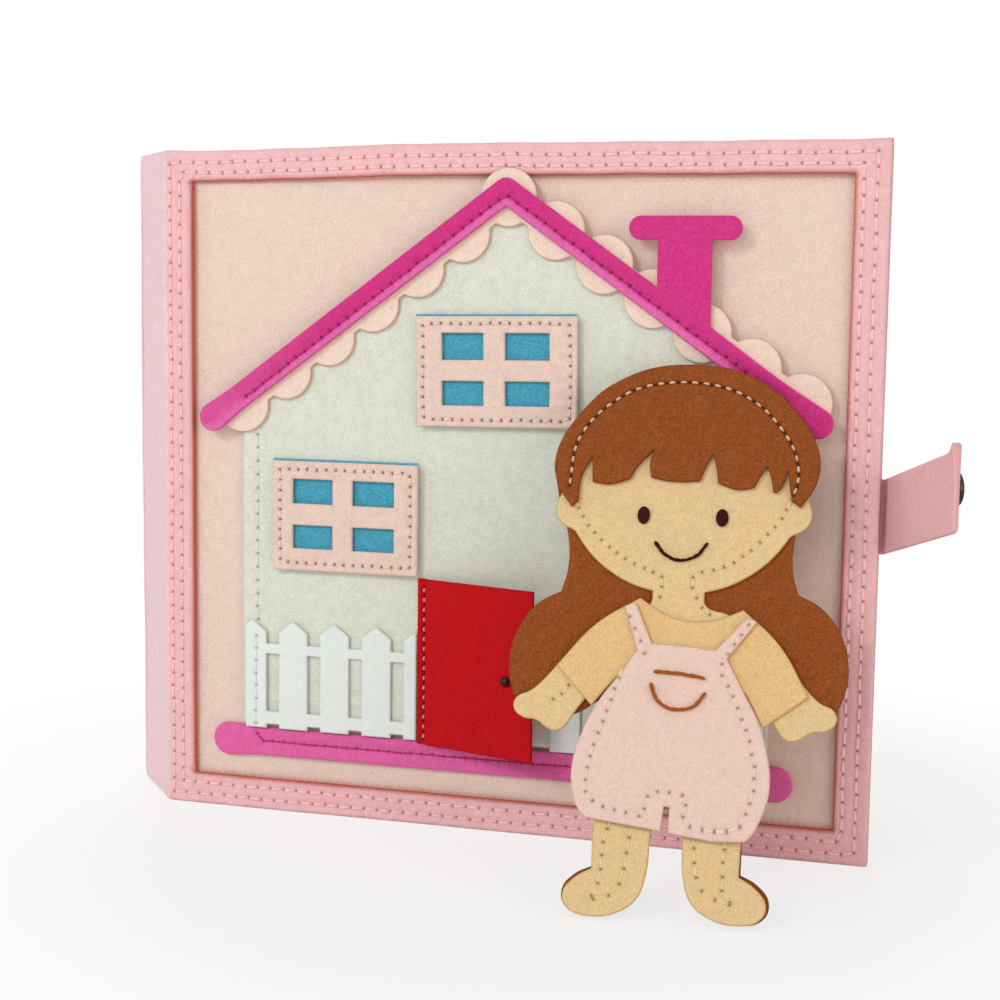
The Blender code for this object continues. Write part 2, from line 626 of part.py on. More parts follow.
def fence(name, left, right, first, bottom, face):
    """Pointed pickets on two rails, cut off at both ends, whose feet reach below the lower rail."""
    half = PICKET_WIDTH / 2
    count = math.ceil((right + half - first) / PICKET_PITCH)
    pickets = []
    for i in range(count):
        middle = first + i * PICKET_PITCH
        pickets.append((max(left, middle - half), middle, min(right, middle + half)))

    def top(across, middle):
        return bottom + FENCE_HEIGHT - PICKET_POINT * abs(across - middle) / half

    rail_top = bottom + UPPER_RAIL_TOP
    rail_bottom = bottom + LOWER_RAIL_BOTTOM
    outline = [(left, bottom if pickets[0][0] == left else rail_bottom)]
    holes = []
    feet = []
    for i, (start, middle, end) in enumerate(pickets):
        if start > left:
            outline.append((start, rail_top))
        outline.append((start, top(start, middle)))
        if start < middle < end:
            outline.append((middle, top(middle, middle)))
        outline.append((end, top(end, middle)))
        if end < right:
            outline.append((end, rail_top))
        if i + 1 < count:
            low, high = bottom + LOWER_RAIL_TOP, bottom + UPPER_RAIL_BOTTOM
            holes.append(rectangle(end, low, pickets[i + 1][0], high))
        feet.append((start, end))
    if pickets[-1][2] < right:
        outline += [(right, rail_top), (right, rail_bottom)]
    for start, end in reversed(feet):
        if end < right:
            outline.append((end, rail_bottom))
        outline.append((end, bottom))
        if start > left:
            outline += [(start, bottom), (start, rail_bottom)]
    flat(name, [outline] + holes, FENCE_FRONT, -GAP, face, "fence_felt")


def door(face, hinge_across, bottom):
    """A flap with a rounded hinge edge that turns about its seam, with its knob."""
    hinge = empty("door_axis", face, (hinge_across, DOOR_DEPTH, 0.0), -DOOR_AJAR)
    half = DOOR_HALF
    plan = arc((0.0, 0.0), half, math.pi * 3 / 2, math.pi / 2)
    plan += [(DOOR_WIDTH, half), (DOOR_WIDTH, -half)]
    curve = bpy.data.curves.new("door_panel", "CURVE")
    curve.dimensions = "2D"
    curve.fill_mode = "BOTH"
    curve.extrude = DOOR_HEIGHT / 2
    spline(curve, plan, True)
    add("door_panel", curve, hinge, "door_felt", (0.0, 0.0, bottom + DOOR_HEIGHT / 2))
    along, up = KNOB_PLACE_share
    dome_steps = 4
    quarter = math.pi / 2
    profile = []
    for i in range(dome_steps + 1):
        angle = quarter * i / dome_steps
        profile.append((KNOB_RADIUS * math.sin(angle), KNOB_HEIGHT * math.cos(angle)))
    profile.append((0.0, 0.0))
    place = (along * DOOR_WIDTH, -half - GAP, bottom + up * DOOR_HEIGHT)
    turned("door_knob", profile, hinge, "knob_bead", place, (quarter, 0.0, 0.0))


def house(face):
    """The house on the front cover, layer by layer."""
    wall_left, _ = on_window((WALL_SIDES_share[0], 0.0))
    wall_right, _ = on_window((WALL_SIDES_share[1], 0.0))
    ground_left, ground_up = on_window((GROUND_ENDS_share[0], GROUND_HEIGHT_share))
    ground_right, _ = on_window((GROUND_ENDS_share[1], GROUND_HEIGHT_share))
    half = GROUND_WIDTH / 2
    end_half = half * STRIP_END_share
    quarter = math.pi / 2
    first, last = (ground_left + end_half, ground_up), (ground_right - end_half, ground_up)
    ground = arc(first, end_half, 3 * quarter, quarter)
    ground.append(beside(first, 0, STRIP_PLAIN_END, half))
    ground.append(beside(last, 0, -STRIP_PLAIN_END, half))
    ground += arc(last, end_half, quarter, -quarter)
    ground.append(beside(last, 0, -STRIP_PLAIN_END, -half))
    ground.append(beside(first, 0, STRIP_PLAIN_END, -half))
    flat("ground_strip", [ground], 0.0, OUTER_FELT, face, "roof_felt")
    base = ground_up + end_half + GAP
    fence_base = ground_up + half + GAP
    left, peak, right = [on_window(place) for place in SCALLOP_PLACES_share]
    right_slope = (right[1] - peak[1]) / (right[0] - peak[0])
    left_slope = (peak[1] - left[1]) / (peak[0] - left[0])
    gable = [
        (wall_left, base),
        (wall_right, base),
        (wall_right, peak[1] + (wall_right - peak[0]) * right_slope),
        peak,
        (wall_left, peak[1] - (peak[0] - wall_left) * left_slope),
    ]
    flat("house_wall", [gable], 0.0, OUTER_FELT, face, "wall_felt")
    flat("scallop_trim", [scallop_outline()], SCALLOP_FRONT, -GAP, face, "scallop_felt")
    flat("roof_trim", [roof_outline()], ROOF_FRONT, SCALLOP_FRONT - GAP, face, "roof_felt")

    hinge_across, door_bottom = on_window((DOOR_HINGE_share, DOOR_BOTTOM_share))
    door_top = door_bottom + DOOR_HEIGHT
    seam_right = hinge_across - DOOR_HALF - GAP
    seam_left = seam_right - SEAM_WIDTH
    seam = rectangle(seam_left, door_bottom, seam_right, door_top)
    flat("door_seam", [seam], SEAM_FRONT, -GAP, face, "door_felt")
    door(face, hinge_across, door_bottom)

    left_end = wall_left + FENCE_INSET
    first = left_end + FIRST_PICKET_INSET
    fence("fence_left", left_end, seam_left - GAP, first, fence_base, face)
    start = hinge_across + DOOR_WIDTH + 2 * GAP
    first = start + PICKET_WIDTH / 2 - GAP
    fence("fence_right", start, wall_right - FENCE_INSET, first, fence_base, face)

    upper_left, upper_bottom = on_window(UPPER_WINDOW_PLACE_share)
    house_window(
        "upper_window", upper_left, upper_bottom, UPPER_WINDOW_WIDTH, UPPER_WINDOW_HEIGHT,
        UPPER_COLUMNS_share, UPPER_ROWS_share, UPPER_WINDOW_ROLL, face,
    )
    lower_left, _ = on_window((LOWER_WINDOW_LEFT_share, 0.0))
    house_window(
        "lower_window", lower_left, door_top + LOWER_WINDOW_ABOVE_DOOR, LOWER_WINDOW_WIDTH,
        LOWER_WINDOW_HEIGHT, LOWER_COLUMNS_share, LOWER_ROWS_share, 0.0, face,
    )


def strap_outline(start, end, zero, corner, rounded):
    """A slanted strip between two places along it. Zero is where its middle is at its hinge's height."""
    low_left, low_right = (start - zero) * STRAP_RISE, (end - zero) * STRAP_RISE
    half = STRAP_WIDTH / 2
    level = rectangle(start, -half, end, half, corner, rounded)
    middle = STRAP_HEIGHT + low_left
    return [(x, z + middle + (low_right - low_left) * (x - start) / (end - start)) for x, z in level]


def sheared(piece, rise):
    """Makes a curve piece a mesh whose height climbs along its X."""
    bpy.context.view_layer.update()
    graph = bpy.context.evaluated_depsgraph_get()
    mesh = bpy.data.meshes.new_from_object(piece.evaluated_get(graph))
    solid = bmesh.new()
    solid.from_mesh(mesh)
    bmesh.ops.remove_doubles(solid, verts=solid.verts, dist=MERGE_DISTANCE)
    slant = Matrix.Identity(4)
    slant[2][0] = rise
    bmesh.ops.transform(solid, matrix=slant, verts=solid.verts)
    solid.to_mesh(mesh)
    solid.free()
    name, parent, place = piece.name, piece.parent, piece.location.copy()
    bpy.data.objects.remove(piece)
    made = bpy.data.objects.new(name, mesh)
    made.parent = parent
    made.location = place
    PARTS.objects.link(made)
    return made


def strap(face, back_face):
    """The strap, sewn inside the front cover by its tongue, with a snap that shuts on the back cover."""
    none = (False, False, False, False)
    end = STRAP_AXIS - STRAP_HALF - GAP
    tongue = strap_outline(end - TONGUE_LENGTH, end, STRAP_AXIS, 0.0, none)
    near, far = STRAP_DEPTH - STRAP_HALF, STRAP_DEPTH + STRAP_HALF
    flat("strap_tongue", [tongue], near, far, face, "border_felt")

    hinge = empty("strap_swing_axis", face, (STRAP_AXIS, STRAP_DEPTH, 0.0), STRAP_SWING)
    quarter = math.pi / 2
    plan = arc((0.0, 0.0), STRAP_HALF, 3 * quarter, quarter)
    plan += arc((STRAP_ROOT_LENGTH, 0.0), STRAP_HALF, quarter, -quarter)
    curve = bpy.data.curves.new("strap_root", "CURVE")
    curve.dimensions = "2D"
    curve.fill_mode = "BOTH"
    curve.extrude = STRAP_WIDTH / 2
    spline(curve, plan, True)
    sheared(add("strap_root", curve, hinge, "border_felt", (0.0, 0.0, STRAP_HEIGHT)), STRAP_RISE)

    bend = empty("strap_bend_axis", hinge, (STRAP_ROOT_LENGTH, 0.0, 0.0))
    rounded = (False, True, True, False)
    start = STRAP_HALF + GAP
    tip = strap_outline(start, STRAP_TIP_LENGTH, -STRAP_ROOT_LENGTH, STRAP_CORNER, rounded)
    flat("strap_tip", [tip], -STRAP_HALF, STRAP_HALF, bend, "border_felt")

    edge = SNAP_EDGE
    floor = SOCKET_HEIGHT - SOCKET_DEPTH
    socket = [
        (0.0, floor),
        (SOCKET_BORE, floor),
        (SOCKET_BORE, SOCKET_HEIGHT),
        (SNAP_RADIUS - edge, SOCKET_HEIGHT),
        (SNAP_RADIUS, SOCKET_HEIGHT - edge),
        (SNAP_RADIUS, edge),
        (SNAP_RADIUS - edge, 0.0),
        (0.0, 0.0),
    ]
    place = (SNAP_ALONG, STRAP_HALF + GAP, SNAP_HEIGHT)
    turned("snap_socket", socket, bend, "snap_metal", place, (-quarter, 0.0, 0.0))
    post = STUD_BASE + STUD_POST
    stud = [
        (0.0, post),
        (STUD_RADIUS - edge, post),
        (STUD_RADIUS, post - edge),
        (STUD_RADIUS, STUD_BASE),
        (SNAP_RADIUS - edge, STUD_BASE),
        (SNAP_RADIUS, STUD_BASE - edge),
        (SNAP_RADIUS, 0.0),
        (0.0, 0.0),
    ]
    place = (SNAP_ALONG - STRAP_AXIS, -GAP, SNAP_HEIGHT)
    turned("snap_stud", stud, back_face, "snap_metal", place, (quarter, 0.0, 0.0))


def doll_points(shares):
    return [(across * DOLL_UNIT, up * DOLL_UNIT, *rest) for across, up, *rest in shares]


def mirrored(half):
    """A closed outline from its right half."""
    left = [(-across, up, corner) for across, up, corner in reversed(half) if across]
    return doll_points(half + tuple(left))


def doll(cover_face):
    """The doll, cut from layers of felt and sewn together, from the backing to the face."""
    frame = empty("doll_frame", cover_face)
    half = DOLL_FELT
    body_back = half
    hair_front = body_back + GAP
    hair_back = hair_front + half
    backing_front = hair_back + GAP
    backing = [mirrored(BACKING_shares)]
    flat("doll_backing", backing, backing_front, backing_front + half, frame, "hair_felt", BODY_ROLL)
    shift = BACK_HAIR_SHIFT_shares * DOLL_UNIT
    back_hair = [mirrored(BACK_HAIR_shares)]
    flat("doll_back_hair", back_hair, hair_front, hair_back, frame, "hair_felt", BACK_HAIR_ROLL, shift)
    body = [mirrored(HEAD_shares + ARM_shares + LEG_shares)]
    flat("doll_body", body, 0.0, body_back, frame, "skin_felt", BODY_ROLL)

    shift = CAP_SHIFT_shares * DOLL_UNIT
    right_cap = CAP_shares
    left_cap = tuple((-across, up, corner) for across, up, corner in reversed(CAP_shares[1:]))
    cap = [doll_points(tuple(reversed(FRINGE_shares)) + left_cap + right_cap)]
    flat("doll_fringe", cap, -GAP - FRINGE_FELT, -GAP, frame, "hair_felt", CAP_ROLL, shift)

    shift = SHIRT_SHIFT_shares * DOLL_UNIT
    shirt_front = -GAP - SHIRT_FELT
    shirt = [mirrored(SHIRT_shares)]
    flat("doll_shirt", shirt, shirt_front, -GAP, frame, "shirt_felt", SHIRT_ROLL, shift)

    shift = DUNGAREES_SHIFT_shares * DOLL_UNIT
    roll = DUNGAREES_ROLL
    bib_front = shirt_front - GAP - half
    bib = [mirrored(DUNGAREES_shares)]
    flat("doll_dungarees", bib, bib_front, shirt_front - GAP, frame, "dungarees_felt", roll, shift)
    depth = bib_front - GAP - THREAD_RADIUS
    line = doll_points(POCKET_LINE_shares)
    thread("pocket_line", line, depth, frame, "pocket_thread", roll, shift)
    curve = doll_points(POCKET_CURVE_shares)
    thread("pocket_curve", curve, depth, frame, "pocket_thread", roll, shift)

    shift = EYE_SHIFT_shares * DOLL_UNIT
    smile = doll_points(SMILE_shares)
    thread("doll_smile", smile, -GAP - THREAD_RADIUS, frame, "face_thread", 0.0, shift)
    across, up = EYE_PLACE_shares
    for side, name in ((-1, "doll_eye_left"), (1, "doll_eye_right")):
        middle = (side * across * DOLL_UNIT + shift, up * DOLL_UNIT)
        ring = arc((0.0, 0.0), 1.0, 0.0, 2 * math.pi)[:-1]
        eye = [(middle[0] + a * EYE_HALF_WIDTH, middle[1] + b * EYE_HALF_TALL) for a, b in ring]
        flat(name, [eye], -GAP - EYE_HEIGHT, -GAP, frame, "face_thread")
    lean_doll(frame, hair_back)
    return frame


def lean_doll(frame, hair_back):
    """Stands the doll's lowest edge on the floor and its hair against the roof."""
    yaw = Matrix.Rotation(DOLL_YAW, 4, "Z")
    lean = Matrix.Rotation(-DOLL_LEAN, 4, "X")
    turned_frame = yaw @ lean
    frame.rotation_mode = "QUATERNION"
    frame.rotation_quaternion = turned_frame.to_quaternion()
    across, up = [share * DOLL_UNIT for share in DOLL_TOUCH_shares]
    touch = turned_frame @ Vector((across, hair_back, up))
    foot_across, _ = on_window((DOLL_PLACE_share, 0.0))
    frame.location = (foot_across, ROOF_FRONT - GAP - touch.y, 0.0)
    frame.location.z = -box_of(frame.children)[0].z


def box_of(pieces):
    """The lowest and highest corners of some pieces, as they are drawn."""
    bpy.context.view_layer.update()
    graph = bpy.context.evaluated_depsgraph_get()
    corners = []
    for piece in pieces:
        if piece.type == "EMPTY":
            continue
        drawn = piece.evaluated_get(graph)
        mesh = drawn.to_mesh()
        corners += [drawn.matrix_world @ vertex.co for vertex in mesh.vertices]
        drawn.to_mesh_clear()
    low = Vector([min(corner[i] for corner in corners) for i in range(3)])
    high = Vector([max(corner[i] for corner in corners) for i in range(3)])
    return low, high


def quiet_book():
    """The whole book, with its origin in the middle of the bottom of its box."""
    book = empty("quiet_book_origin", None)
    front_axis = empty("front_fold_axis", book)
    along_spine = (SPINE_WIDTH * math.cos(FOLD_ANGLE), SPINE_WIDTH * math.sin(FOLD_ANGLE), 0.0)
    back_axis = empty("back_fold_axis", book, along_spine, 2 * FOLD_ANGLE)
    spine_axis = empty("spine_axis", book, along_spine, FOLD_ANGLE - STRAIGHT)
    to_face = (0.0, -FOLD_RADIUS, 0.0)
    front_face = empty("front_face", front_axis, to_face)
    back_face = empty("back_face", back_axis, to_face)
    spine_face = empty("spine_face", spine_axis, to_face)

    spine(spine_face, front_axis, back_axis)
    front_cover(front_face)
    back_cover(back_face)
    leaves(spine_face)
    house(front_face)
    strap(front_face, back_face)
    doll(front_face)

    low, high = box_of(PARTS.objects)
    book.location = (-(low.x + high.x) / 2, -(low.y + high.y) / 2, -low.z)


for old in list(bpy.data.objects):
    bpy.data.objects.remove(old)
PARTS = bpy.data.collections.new("quiet_book")
CUTTERS = bpy.data.collections.new("cutters")
for collection in (PARTS, CUTTERS):
    bpy.context.scene.collection.children.link(collection)
quiet_book()
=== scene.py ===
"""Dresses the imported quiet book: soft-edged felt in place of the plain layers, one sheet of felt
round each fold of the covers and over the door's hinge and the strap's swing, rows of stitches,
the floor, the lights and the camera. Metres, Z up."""

import json
import math

import bmesh
import bpy
import numpy as np
from mathutils import Matrix, Vector
from mathutils.geometry import delaunay_2d_cdt


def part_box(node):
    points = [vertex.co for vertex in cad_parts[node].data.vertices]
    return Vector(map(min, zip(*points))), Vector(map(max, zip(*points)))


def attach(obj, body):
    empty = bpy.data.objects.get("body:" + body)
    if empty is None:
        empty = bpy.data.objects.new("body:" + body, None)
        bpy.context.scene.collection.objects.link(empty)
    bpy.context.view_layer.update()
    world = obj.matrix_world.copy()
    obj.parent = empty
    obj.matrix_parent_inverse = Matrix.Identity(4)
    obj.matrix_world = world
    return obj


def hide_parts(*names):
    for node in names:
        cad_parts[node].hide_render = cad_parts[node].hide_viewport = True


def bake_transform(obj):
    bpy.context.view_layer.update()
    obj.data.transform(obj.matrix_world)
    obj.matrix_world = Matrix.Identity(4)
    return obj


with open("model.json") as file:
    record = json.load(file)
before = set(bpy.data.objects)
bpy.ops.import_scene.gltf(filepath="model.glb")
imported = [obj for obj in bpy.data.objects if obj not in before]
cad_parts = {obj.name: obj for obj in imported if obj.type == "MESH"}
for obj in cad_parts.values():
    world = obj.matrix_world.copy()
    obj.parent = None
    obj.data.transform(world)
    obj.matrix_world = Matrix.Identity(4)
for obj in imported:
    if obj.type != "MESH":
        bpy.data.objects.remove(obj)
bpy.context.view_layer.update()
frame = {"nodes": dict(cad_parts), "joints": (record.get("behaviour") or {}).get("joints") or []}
for leftover in ("Cube", "Light", "Camera"):
    if leftover in bpy.data.objects:
        bpy.data.objects.remove(bpy.data.objects[leftover])

MM = 0.001
JOINTS = {joint["name"]: joint for joint in frame["joints"]}

# The book, as the part gives it
COVER_LENGTH = 224.5 * MM
COVER_HEIGHT = 210.0 * MM
SPINE_WIDTH = 32.0 * MM
FOLD_ANGLE = math.radians(130.0)
FOLD_RADIUS = 1.0 * MM
FOLD_REACH = 1.3 * MM  # from a fold's axis to where its felt is flat
OUTER_FELT = 2.0 * MM
RIM = 2.5 * MM  # the strip of outer felt that turns in at the edges
RIM_BACK = 5.0 * MM  # how deep it reaches
INNER_START = 5.9 * MM  # how far from the fold it begins
WINDOW = (9.2 * MM, 10.2 * MM, 214.4 * MM, 200.5 * MM)  # left, bottom, right, top
DOOR_AJAR = math.radians(17.2)
STRAP_SWING = math.radians(-66.5)
STRAP_HALF = 0.75 * MM  # half of its thickness
STRAP_WIDTH = 22.0 * MM
STRAP_RISE = math.tan(math.radians(13.9))
STRAP_HEIGHT = 103.1 * MM  # of its middle at the fore-edge
DOLL_LEAN = math.radians(23.0)
DOLL_YAW = math.radians(5.0)
DOLL_STANDS = Vector((176.44 * MM, -67.31 * MM, 1.504 * MM))

# Felt: its points, its cut edges and its unevenness
TRIANGLE_share = 0.87  # of the grid's step, from one row of its even triangles to the next
CELL_share = 0.7  # of the grid's step, the cells in which near points are looked for
APART_share = 0.6  # of the grid's step, that it keeps from other points
EDGE_ROUND = 0.55 * MM
EDGE_DROP_share = 0.32  # of the thickness, gone at a cut edge
EDGE_RINGS_share = (0.28, 0.62, 1.0, 2.0)  # of the rounding, where points follow a cut edge
RING_CLEAR_share = 0.8  # of its way in, that a ring keeps from every edge
EDGE_CLEAR = 0.12 * MM  # no other point is closer to an edge
EDGE_BAND_share = 2.6  # of the rounding, where the grid starts
GRID_BAND_share = 0.4  # of the grid's step, the least for that
CORNER = math.radians(38.0)  # a sharper turn of an outline stays a corner
LONG_SIDE = 4  # a side this many times as long as the next is straight
SAME_SPOT = 0.002 * MM
SHORTEST = 0.02 * MM
NEAR_FACE = 0.06 * MM
NO_LENGTH = 1e-9
NO_AREA = 1e-18
WAVES = (61.0, 43.0, 27.0, 17.0)  # mm from crest to crest
WINDOW_EDGE_SHADE = 0.75 * MM  # how far the shade painted along the cut edge of a window reaches
RECESS_SHADOW = 0.5 * MM  # how far the shadow painted on a panel beside the edge that lies on it reaches
# how dark that painted shadow is at the edge
RECESS_SHADOW_share = 0.7

# Stitches
INSET_CLEAR_share = 0.93  # of its distance, that a row keeps from every edge
GROOVE = 0.32 * MM
GROOVE_WIDTH = 1.15 * MM
BED_widths = (-1.6, -1.0, -0.5, 0.0, 0.5, 1.0, 1.6)  # where points lie across a groove
PIT = 0.5 * MM
PIT_RADIUS = 0.46 * MM
HOLE_RINGS = ((0.0, 1), (0.32 * MM, 6), (0.75 * MM, 8), (1.35 * MM, 8))  # radius, points
HAND_DRIFT = 0.09 * MM
THREAD = 0.3 * MM
DASH_THREAD = 0.36 * MM
COVER_THREAD = 0.42 * MM
THREAD_APART = 0.3 * MM  # from the hole to the thread's end
THREAD_APART_share = 0.15  # of the stitch, the most that it may be
THREAD_PROUD_share = 0.4  # of the thread's radius, over the bottom of its groove
THREAD_WIDTHS_share = (0.9, 1.15)  # of its radius, the least and the most
THREAD_BEND = 0.6  # the power that keeps a strand level in the middle and steep at its ends
CORD = 0.5 * MM
CORD_PROUD_share = 0.4


# Frames


def axis_of(joint):
    """A point on a joint's axis."""
    return Vector(JOINTS[joint]["pos_m"])


def level_way(angle):
    """A level direction, from its angle."""
    return Vector((math.cos(angle), math.sin(angle), 0.0))


def place_at(joint, angle, outside=0.0):
    """A frame on a joint's axis: X along a piece, Y inwards, Z up from the floor."""
    x, y, _ = JOINTS[joint]["pos_m"]
    turn = Matrix.Rotation(angle, 4, "Z")
    return Matrix.Translation((x, y, 0.0)) @ turn @ Matrix.Translation((0.0, -outside, 0.0))


def laid(place):
    """Carries points that are given across, in depth and up in a frame to their place."""
    turn = np.array(place)[:3].T

    def wrap(across, depth, height):
        return np.stack([across, depth, height, np.ones_like(across)], axis=1) @ turn

    return wrap


FRONT = place_at("front_fold_turn", 0.0, FOLD_RADIUS)
SPINE = place_at("back_fold_turn", FOLD_ANGLE - math.pi, FOLD_RADIUS)
BACK = place_at("back_fold_turn", 2 * FOLD_ANGLE, FOLD_RADIUS)
DOOR = place_at("door_swing", -DOOR_AJAR)
STRAP = place_at("strap_swing", STRAP_SWING)
TIP = place_at("strap_bend", STRAP_SWING)
DOLL = FRONT @ Matrix.Translation(DOLL_STANDS) @ Matrix.Rotation(DOLL_YAW, 4, "Z")
DOLL = DOLL @ Matrix.Rotation(-DOLL_LEAN, 4, "X")


# Outlines


def loops_of(node, place):
    """The loops round a flat node's outer face, across and up in a frame, and its two depths."""
    mesh = frame["nodes"][node].data
    back = place.inverted()
    keys, points, index = {}, [], []
    for vertex in mesh.vertices:
        point = back @ vertex.co
        key = tuple(round(value / SAME_SPOT) for value in point)
        if key not in keys:
            keys[key] = len(points)
            points.append(point)
        index.append(keys[key])
    near = min(point.y for point in points)
    far = max(point.y for point in points)
    edges = set()
    for polygon in mesh.polygons:
        face = tuple(index[i] for i in polygon.vertices)
        if any(points[i].y > near + NEAR_FACE for i in face):
            continue
        for edge in zip(face, face[1:] + face[:1]):
            if edge[::-1] in edges:
                edges.remove(edge[::-1])
            else:
                edges.add(edge)
    following = dict(edges)
    loops = []
    while following:
        start, here = following.popitem()
        loop = [start]
        while here != start:
            loop.append(here)
            here = following.pop(here)
        loops.append([Vector((points[i].x, points[i].z)) for i in loop])
    return loops, near, far


def between(start, leaving, end, arriving, t):
    """A point on the smooth line from start to end, by the ways it leaves and arrives."""
    t2 = t * t
    t3 = t2 * t
    return (start * (2 * t3 - 3 * t2 + 1) + leaving * (t3 - 2 * t2 + t)) + (
        end * (3 * t2 - 2 * t3) + arriving * (t3 - t2)
    )


def smooth_loop(loop, step):
    """A loop of points, with arcs drawn smooth between its corners and its edges cut to a step."""
    loop = [point for i, point in enumerate(loop) if (point - loop[i - 1]).length > SHORTEST]
    count = len(loop)
    edges = [loop[(i + 1) % count] - loop[i] for i in range(count)]
    lengths = [edge.length for edge in edges]
    leaving, arriving = [], []
    for i in range(count):
        before, after = edges[i - 1].normalized(), edges[i].normalized()
        if before.angle(after) > CORNER:
            arriving.append(before)
            leaving.append(after)
            continue
        if lengths[i - 1] > LONG_SIDE * lengths[i]:
            tangent = before
        elif lengths[i] > LONG_SIDE * lengths[i - 1]:
            tangent = after
        else:
            tangent = (before * lengths[i] + after * lengths[i - 1]).normalized()
        arriving.append(tangent)
        leaving.append(tangent)
    made = []
    for i, length in enumerate(lengths):
        start, end = loop[i], loop[(i + 1) % count]
        first, last = leaving[i] * length, arriving[(i + 1) % count] * length
        pieces = max(1, round(length / step))
        made += [between(start, first, end, last, k / pieces) for k in range(pieces)]
    return np.array([tuple(point) for point in made])


def chunks(points, size=3000):
    """Some of the points at a time, so that the tables made from them stay small."""
    for i in range(0, len(points), size):
        yield points[i : i + size]


def distance(points, starts, ends):
    """How far each point is from the nearest of some segments."""
    out = []
    along = ends - starts
    square = np.maximum((along**2).sum(axis=1), NO_AREA)
    for part in chunks(points):
        gap = part[:, None, :] - starts[None]
        t = np.clip((gap * along[None]).sum(axis=2) / square[None], 0.0, 1.0)
        gap -= t[..., None] * along[None]
        out.append(np.sqrt((gap**2).sum(axis=2).min(axis=1)))
    return np.concatenate(out) if out else np.zeros(0)


def from_loop(points, loop):
    """How far each point is from a closed loop."""
    return distance(points, loop, np.roll(loop, -1, axis=0))


def inside(points, starts, ends):
    """Whether each point is inside the loops."""
    out = []
    rise = ends[:, 1] - starts[:, 1]
    slope = (ends - starts)[:, 0] / np.where(rise == 0, NO_AREA, rise)
    for part in chunks(points):
        x, y = part[:, 0:1], part[:, 1:2]
        crosses = (starts[None, :, 1] > y) != (ends[None, :, 1] > y)
        at = starts[None, :, 0] + (y - starts[None, :, 1]) * slope[None]
        out.append((crosses & (x < at)).sum(axis=1) % 2 == 1)
    return np.concatenate(out) if out else np.zeros(0, bool)


def along_path(points, pitch, closed=False):
    """Points at an even pitch along a path."""
    path = np.array(points, float)
    if closed:
        path = np.vstack([path, path[:1]])
    lengths = np.sqrt((np.diff(path, axis=0) ** 2).sum(axis=1))
    total = lengths.sum()
    count = max(2, round(total / pitch))
    at = np.linspace(0.0, total, count + 1)
    if closed:
        at = at[:-1]
    reached = np.concatenate([[0.0], np.cumsum(lengths)])
    return np.stack([np.interp(at, reached, path[:, i]) for i in range(2)], axis=1)


def curved(points, steps=8):
    """A smooth path through some points."""
    path = [np.array(point, float) for point in points]
    path = [2 * path[0] - path[1]] + path + [2 * path[-1] - path[-2]]
    made = []
    for a, b, c, d in zip(path, path[1:], path[2:], path[3:]):
        for k in range(steps):
            t = k / steps
            made.append(
                0.5 * (2 * b + (c - a) * t + (2 * a - 5 * b + 4 * c - d) * t**2
                       + (3 * b - a - 3 * c + d) * t**3)
            )
    made.append(path[-2])
    return made


def box_path(left, bottom, right, top):
    """The four corners of a rectangle, in turn."""
    return [(left, bottom), (right, bottom), (right, top), (left, top)]


def inset(loop, reach):
    """A path that follows the inside of a loop."""
    x, z = loop[:, 0], loop[:, 1]
    area = 0.5 * (x * np.roll(z, -1) - np.roll(x, -1) * z).sum()
    along = np.roll(loop, -1, axis=0) - np.roll(loop, 1, axis=0)
    along /= np.maximum(np.hypot(along[:, 0], along[:, 1]), NO_LENGTH)[:, None]
    inward = np.stack([-along[:, 1], along[:, 0]], axis=1) * (1 if area > 0 else -1)
    moved = loop + inward * reach
    return moved[from_loop(moved, loop) > reach * INSET_CLEAR_share]


def cut_back(points, least, low_end, high_end):
    """A loop cut off at a line across it, and closed by two new corners."""
    kept = [point for point in points if point[0] > least]
    gap = max(range(len(kept)), key=lambda i: math.dist(kept[i], kept[(i + 1) % len(kept)]))
    kept = kept[gap + 1 :] + kept[: gap + 1]
    ends = [low_end, high_end]
    return kept + (ends if kept[-1][1] < kept[0][1] else ends[::-1])


# Felt and thread


class Row:
    """A row of stitches: its holes, and which of the gaps between them show thread."""

    def __init__(
        self, points, pitch, closed=False, dash=None, groove=1.0, width=GROOVE_WIDTH, seed=0
    ):
        self.groove = groove
        self.width = width
        holes = along_path(points, pitch, closed)
        if not dash:
            holes = holes + np.random.default_rng(seed).normal(0.0, HAND_DRIFT, holes.shape)
        following = np.roll(holes, -1, axis=0) if closed else holes[1:]
        self.pairs = list(zip(holes, following))
        self.holes = holes
        if dash:
            self.pairs = [(a, a + (b - a) * (dash / pitch)) for a, b in self.pairs]
            self.holes = np.array([point for pair in self.pairs for point in pair])
        self.starts, self.ends = (np.array(side) for side in zip(*self.pairs))

    def bed(self):
        """Points across the groove, beside the middle and the start of each stitch."""
        along = self.ends - self.starts
        beside = np.stack([-along[:, 1], along[:, 0]], axis=1) / np.hypot(*along.T)[:, None]
        middles = self.starts + along / 2
        spots = [middles + beside * self.width * reach for reach in BED_widths]
        outer = (BED_widths[0], BED_widths[-1])
        spots += [self.starts + beside * self.width * reach for reach in outer]
        return np.concatenate(spots)


def wave(x, z, seed):
    """A slow, shallow unevenness from -1 to 1."""
    draw = np.random.default_rng(seed)
    total = np.zeros_like(x)
    for size in WAVES:
        angle, start = draw.uniform(0.0, 2 * math.pi, 2)
        phase = 2 * math.pi * (x * math.cos(angle) + z * math.sin(angle)) / (size * MM) + start
        total += size / sum(WAVES) * np.sin(phase)
    return total


